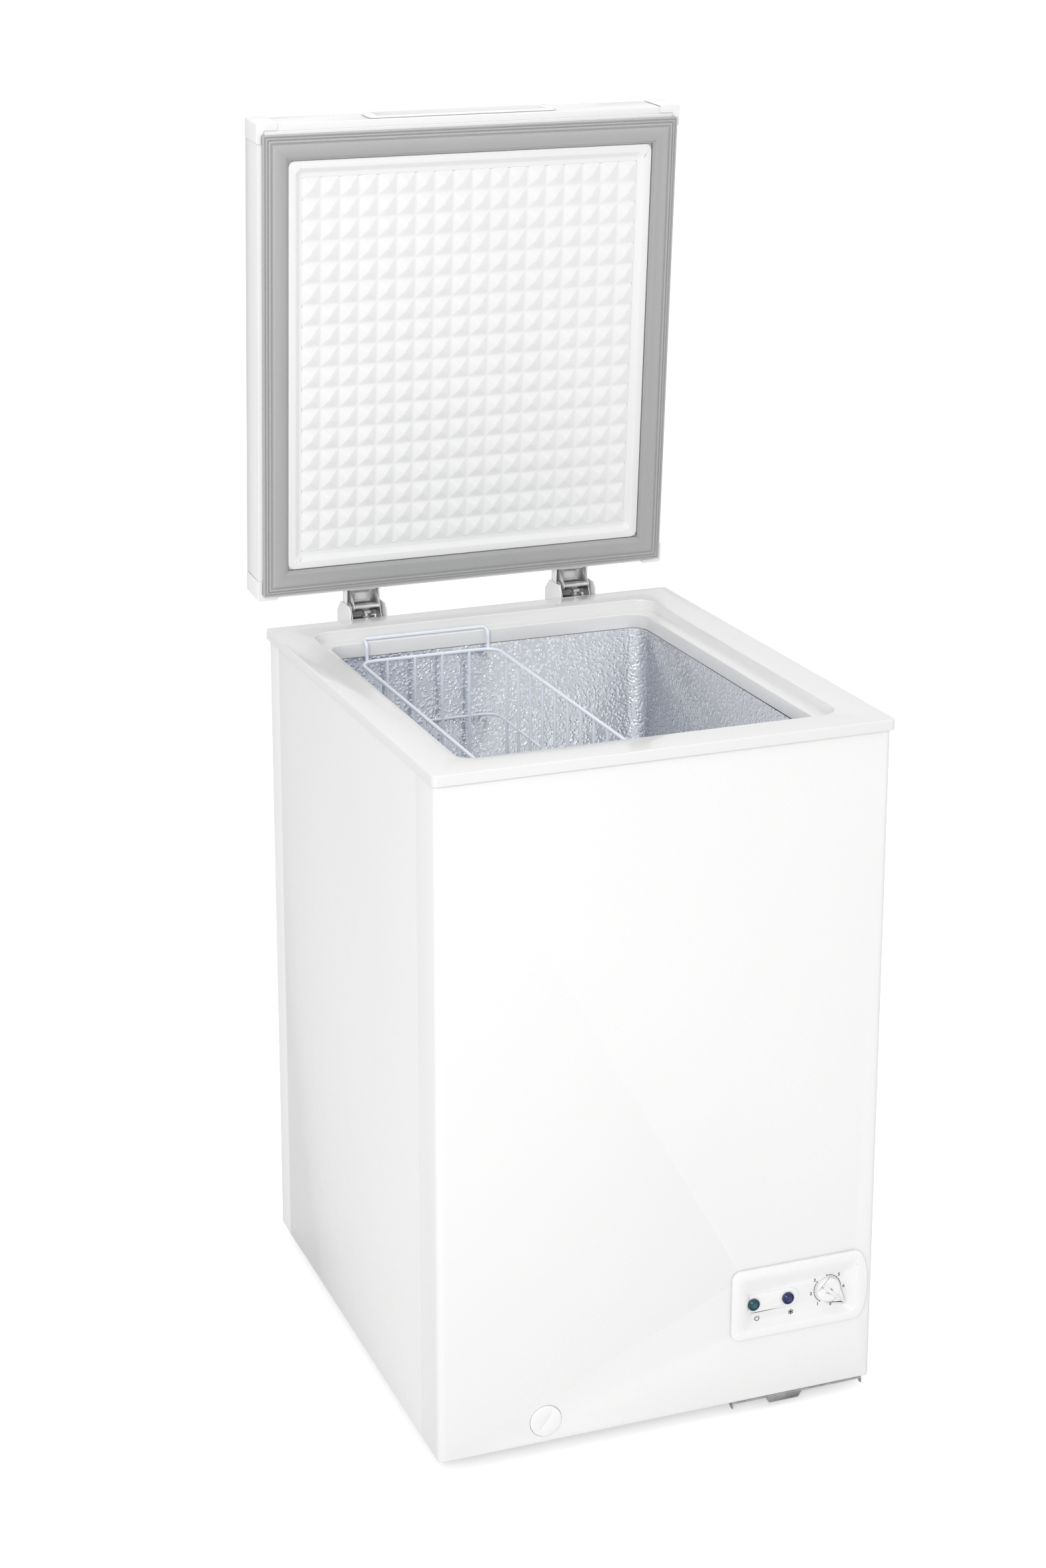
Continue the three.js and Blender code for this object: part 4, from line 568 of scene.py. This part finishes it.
def waffle():
    """The grid of low pyramids pressed into the lid's inner lining."""
    left, right, near, far, face = -213, 213, 71.5, 529.5, 810.3
    bpy.ops.object.select_all(action="DESELECT")
    bpy.ops.mesh.primitive_grid_add(x_subdivisions=WAFFLE_CELLS, y_subdivisions=WAFFLE_CELLS, size=1)
    obj = bpy.context.object
    obj.scale = ((right - left) * MM, (far - near) * MM, 1)
    bpy.ops.object.transform_apply(scale=True)
    modify(obj, "SOLIDIFY", thickness=0.5 * MM, offset=-1)
    pick_faces(obj, lambda c, n: n.z > 0.9)
    bpy.ops.mesh.inset(thickness=WAFFLE_VALLEY * MM, depth=0, use_individual=True)
    bpy.ops.mesh.inset(thickness=WAFFLE_RUN * MM, depth=WAFFLE_RISE * MM, use_individual=True)
    done()
    soften(obj, 0.75, 2, 12)
    middle = at((left + right) / 2, (near + far) / 2, face)
    obj.data.transform(Matrix.Translation(middle) @ Matrix.Rotation(math.pi, 4, "X"))
    return settle(tidy(opened(obj), False), "lid_waffle", "lid",
                  FINISH["white_plastic"], angle=30)


GASKET_STEPS = (
    (0.5, 0.5), (1.3, 0.0), (0.4, -1.2), (0.9, 0.0), (0.4, 1.4), (1.6, 0.2), (0.4, -1.4), (0.8, 0.0),
    (0.5, 1.9), (2.2, 0.3), (0.6, -1.3), (1.1, 0.0), (0.7, 1.8), (2.4, 0.9), (3.0, 0.6), (3.6, 0.2),
    (3.6, -0.3), (2.6, -0.7), (1.4, -1.0), (0.8, -1.6), (1.0, 0.0), (0.7, -1.0),
)


def widest(obj, hand):
    """The largest face that looks up or down."""
    return max((f for f in obj.data.polygons if f.normal.z * hand > 0.9), key=lambda f: f.area)


def seal():
    """The ribbed magnetic seal, with mitred corners as it is welded from straight lengths."""
    side, near, far, low, tall = 261.5, 20, 581, 801.3, 9
    obj = box_between(at(-side, near, low + 3), at(side, far, low + tall))
    pick_faces(obj, lambda c, n: n.z < -0.9)
    for across, rise in GASKET_STEPS:
        bpy.ops.mesh.inset(thickness=across * MM, depth=rise * MM)
    done()
    opening = widest(obj, -1)
    edge = min(obj.data.vertices[i].co.x for i in opening.vertices) - at(-side, 0, 0).x
    pick_faces(obj, lambda c, n: n.z > 0.9)
    bpy.ops.mesh.inset(thickness=edge, depth=0)
    done()
    ends = [widest(obj, hand).index for hand in (-1, 1)]
    pick_faces(obj, lambda c, n: False)
    done()
    for index in ends:
        obj.data.polygons[index].select = True
    edit(obj)
    bpy.ops.mesh.bridge_edge_loops()
    done()
    soften(obj, 0.35, 2, 25)
    return settle(tidy(opened(obj)), "lid_seal", "lid", FINISH["gasket_grey"],
                  ["lid_gasket"])


formed("lid_skin", 0.6, 2)
formed("lid_liner", 0.9, 3)
formed("lid_handle", 0.6, 2)
for number in (1, 2, 3, 4):
    formed(f"lid_corner_{number}", 0.7, 3)
waffle()
seal()

# ---------------------------------------------------------------- hinges

for hand in ("left", "right"):
    formed(f"hinge_arm_{hand}", 0.35, 2)
    formed(f"hinge_bracket_{hand}", 0.35, 2)
    formed(f"hinge_cover_{hand}", 0.8, 3)
    formed(f"hinge_hood_{hand}", 0.6, 2)
    formed(f"hinge_pin_{hand}", 0.4, 2)

# ---------------------------------------------------------------- basket


def basket():
    """The hanging basket of coated round wire, with a frame at the rim and two hanging bars."""
    left, right, near, far = -168, 8, 68, 520
    rim, low, hang, reach = 766, 600, 790.5, 14.2
    rim_wire, thin = 2.35, 1.9
    parts = []
    for z, radius in ((rim, rim_wire), (rim - (rim - low) / 2, thin)):
        corners = [at(left, near, z), at(right, near, z), at(right, far, z), at(left, far, z)]
        parts.append(wire(rounded(corners, 22, True), radius, True))
    across = 12
    for i in range(1, across):
        y = near + i * (far - near) / across
        points = [at(left + 0.7, y, rim), at(left + 0.7, y, low), at(right - 0.7, y, low),
                  at(right - 0.7, y, rim)]
        parts.append(wire(rounded(points, 14), thin))
    along = 5
    for i in range(1, along):
        x = left + i * (right - left) / along
        points = [at(x, near + 0.7, rim), at(x, near + 0.7, low - 0.7), at(x, far - 0.7, low - 0.7),
                  at(x, far - 0.7, rim)]
        parts.append(wire(rounded(points, 14), thin))
    for edge, out in ((near, -1), (far, 1)):
        rest = edge + out * reach
        foot = edge + out * 1.2
        points = [at(left + 10, foot, rim), at(left + 10, foot, hang - 3), at(left + 10, rest, hang),
                  at(right - 10, rest, hang), at(right - 10, foot, hang - 3), at(right - 10, foot, rim)]
        parts.append(wire(rounded(points, 5), thin + 0.2))
    return settle(joined(parts), "wire_basket", "basket", FINISH["coated_wire"],
                  ["basket"], angle=60)


basket()

# ---------------------------------------------------------------- control panel


LAMP_STEPS = ((0.5, 0.4), (0.7, 0.1), (0.4, -0.9), (0.5, 0.0), (0.9, 0.9), (1.2, 0.5), (1.4, 0.2))


def lamp(name, body_node, finish):
    """A domed lens in its raised ring."""
    low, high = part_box(body_node)
    centre = (low + high) / 2
    radius = (high.x - low.x) / 2 / MM
    dome = disc(Vector((centre.x, low.y + 2.6 * MM, centre.z)), radius, 3.4)
    pick_faces(dome, lambda c, n: n.y < -0.9)
    for across, rise in LAMP_STEPS:
        bpy.ops.mesh.inset(thickness=across * MM, depth=rise * MM)
    done()
    soften(dome, 0.2, 2, 15)
    return settle(tidy(dome), name, "cabinet", finish, [body_node])


lamp("power_lamp_lens", "lamp_green", FINISH["green_lens"])
lamp("cooling_lamp_lens", "lamp_blue", FINISH["blue_lens"])

PANEL_FLOOR = 6
DIAL = at(205.7, PANEL_FLOOR, 134)
INK = 0.3
SCALE_RADIUS = 16.6
FIGURE_RADIUS = 20.6
FIGURE_SIZE = 5.2
FIGURE_SWELL = 0.12
SIGN_Z = 113.7


def print_disc(centre, radius):
    return disc(centre, radius, INK, 16)


def print_bar(start, end, width):
    """A short straight printed line on the panel's floor."""
    run = end - start
    bpy.ops.object.select_all(action="DESELECT")
    bpy.ops.mesh.primitive_cube_add(size=1)
    obj = bpy.context.object
    obj.scale = (run.length, INK * MM, width * MM)
    obj.rotation_euler = (0, -math.atan2(run.z, run.x), 0)
    obj.location = (start + end) / 2
    bpy.ops.object.transform_apply(location=True, rotation=True, scale=True)
    return obj


def round_point(centre, radius, degrees):
    turn = math.radians(degrees)
    return centre + Vector((math.cos(turn), 0, math.sin(turn))) * radius * MM


def print_arc(centre, radius, start, end, width, pieces=6):
    parts = []
    for i in range(pieces):
        first = start + (end - start) * i / pieces
        last = start + (end - start) * (i + 1.08) / pieces
        parts.append(print_bar(round_point(centre, radius, first), round_point(centre, radius, last),
                               width))
    return parts


def figure(text, centre, size):
    """A printed figure, centred on its place and facing the room."""
    bpy.ops.object.select_all(action="DESELECT")
    bpy.ops.object.text_add(location=centre, rotation=(math.pi / 2, 0, 0))
    obj = bpy.context.object
    obj.data.body = text
    obj.data.size = size * MM
    obj.data.align_x = "CENTER"
    obj.data.align_y = "CENTER"
    obj.data.extrude = INK / 2 * MM
    obj.data.offset = FIGURE_SWELL * MM
    obj.data.resolution_u = 3
    bpy.ops.object.convert(target="MESH")
    obj = bpy.context.object
    bpy.ops.object.transform_apply(location=True, rotation=True, scale=True)
    return obj


def dial_print():
    """The dots, arcs and figures round the knob, and the power and snow signs under the lamps."""
    parts = []
    dots = (-77, -124.5, -172, 141, 93.2, 46, -1.7)
    for number, degrees in enumerate(dots):
        parts.append(print_disc(round_point(DIAL, SCALE_RADIUS, degrees), 0.85))
        parts.append(figure(str(number), round_point(DIAL, FIGURE_RADIUS, degrees), FIGURE_SIZE))
    for start, end in ((-130.5, -166), (-178, -213), (87, 52), (40, 4.3), (-7.7, -21)):
        parts += print_arc(DIAL, SCALE_RADIUS, start, end, 0.75)
    power = at(118.4, PANEL_FLOOR, SIGN_Z)
    parts += print_arc(power, 2.7, 118, 422, 0.8, 16)
    parts.append(print_bar(power + Vector((0, 0, 0.6 * MM)), power + Vector((0, 0, 3.4 * MM)), 0.6))
    snow = at(160.5, PANEL_FLOOR, SIGN_Z)
    for arm in range(6):
        tip = round_point(snow, 3.1, 30 + 60 * arm)
        parts.append(print_bar(snow, tip, 0.75))
        for side in (-1, 1):
            root = round_point(snow, 1.9, 30 + 60 * arm)
            parts.append(print_bar(root, root + round_point(Vector(), 1.4, 30 + 60 * arm + side * 48),
                                   0.5))
    parts.append(print_disc(snow, 1.1))
    return settle(tidy(joined(parts)), "dial_print", "cabinet", PRINT)


dial_print()

# ---------------------------------------------------------------- studio

CAMERA_TURN = math.radians(18.64)
CAMERA_DIP = math.radians(13.97)
CAMERA_ROLL = math.radians(-0.74)
CAMERA_PLACE = at(-1164, -2467, 1709)
CAMERA_LENS = 62.74
CAMERA_SHIFT = (0.0995, -0.1597)


def camera():
    forward = Vector((
        math.sin(CAMERA_TURN) * math.cos(CAMERA_DIP), math.cos(CAMERA_TURN) * math.cos(CAMERA_DIP),
        -math.sin(CAMERA_DIP),
    ))
    right = Vector((math.cos(CAMERA_TURN), -math.sin(CAMERA_TURN), 0))
    up = right.cross(forward)
    c, s = math.cos(CAMERA_ROLL), math.sin(CAMERA_ROLL)
    across, upward = right * c + up * s, up * c - right * s
    made = bpy.data.cameras.new("camera")
    made.lens = CAMERA_LENS
    made.sensor_width = 36
    made.shift_x, made.shift_y = CAMERA_SHIFT
    made.clip_start = 0.05
    made.clip_end = 60
    made.dof.use_dof = False
    obj = bpy.data.objects.new("camera", made)
    bpy.context.scene.collection.objects.link(obj)
    turn = Matrix((across, upward, -forward)).transposed().to_4x4()
    obj.matrix_world = Matrix.Translation(CAMERA_PLACE) @ turn
    bpy.context.scene.camera = obj


def area_light(name, place, target, width, height, power):
    made = bpy.data.lights.new(name, "AREA")
    made.shape = "RECTANGLE"
    made.size, made.size_y = width, height
    made.energy = power
    obj = bpy.data.objects.new(name, made)
    bpy.context.scene.collection.objects.link(obj)
    obj.location = place
    obj.rotation_mode = "QUATERNION"
    obj.rotation_quaternion = (Vector(target) - Vector(place)).to_track_quat("-Z", "Y")


ROOM_LIGHT = 0.87
BACKDROP_LIGHT = 1.1
FLOOR_GLOW = 0.5
KEY_POWER, TOP_POWER = 70, 14


def studio():
    bpy.ops.object.select_all(action="DESELECT")
    bpy.ops.mesh.primitive_plane_add(size=40, location=(0, 0, 0))
    floor = bpy.context.object
    floor.name = "studio_floor"
    made, tree, shader = material("studio floor", Emission_Color=(1, 1, 1, 1))
    skin = placed(tree, SKIN, Colour=grey(0.8), Shade=grey(0.78), Grain_Scale=300, Patch_Scale=2,
                  Smooth=0.8, Rough=0.95)
    tree.links.new(skin.outputs["Colour"], shader.inputs["Base Color"])
    tree.links.new(skin.outputs["Roughness"], shader.inputs["Roughness"])
    lift = node(tree, "Math", {0: node(tree, "LightPath").outputs["Is Camera Ray"], 1: FLOOR_GLOW},
                operation="MULTIPLY")
    tree.links.new(lift.outputs[0], shader.inputs["Emission Strength"])
    floor.data.materials.append(made)
    world = bpy.data.worlds.new("studio")
    world.use_nodes = True
    tree = world.node_tree
    tree.nodes["Background"].inputs["Strength"].default_value = ROOM_LIGHT
    tree.nodes["Background"].inputs["Color"].default_value = (1, 1, 1, 1)
    backdrop = node(tree, "Background", {"Color": (1, 1, 1, 1), "Strength": BACKDROP_LIGHT})
    seen = node(tree, "LightPath").outputs["Is Camera Ray"]
    both = node(tree, "MixShader", {0: seen, 1: tree.nodes["Background"].outputs[0],
                                    2: backdrop.outputs[0]})
    tree.links.new(both.outputs[0], tree.nodes["World Output"].inputs["Surface"])
    bpy.context.scene.world = world
    bpy.context.scene.view_settings.view_transform = "Standard"
    area_light("key", (-2.1, -3.4, 2.3), (0, 0, 0.8), 1.4, 1.8, KEY_POWER)
    area_light("top", (0.3, 0.6, 3.4), (0, 0, 0.4), 2.0, 2.0, TOP_POWER)


camera()
studio()
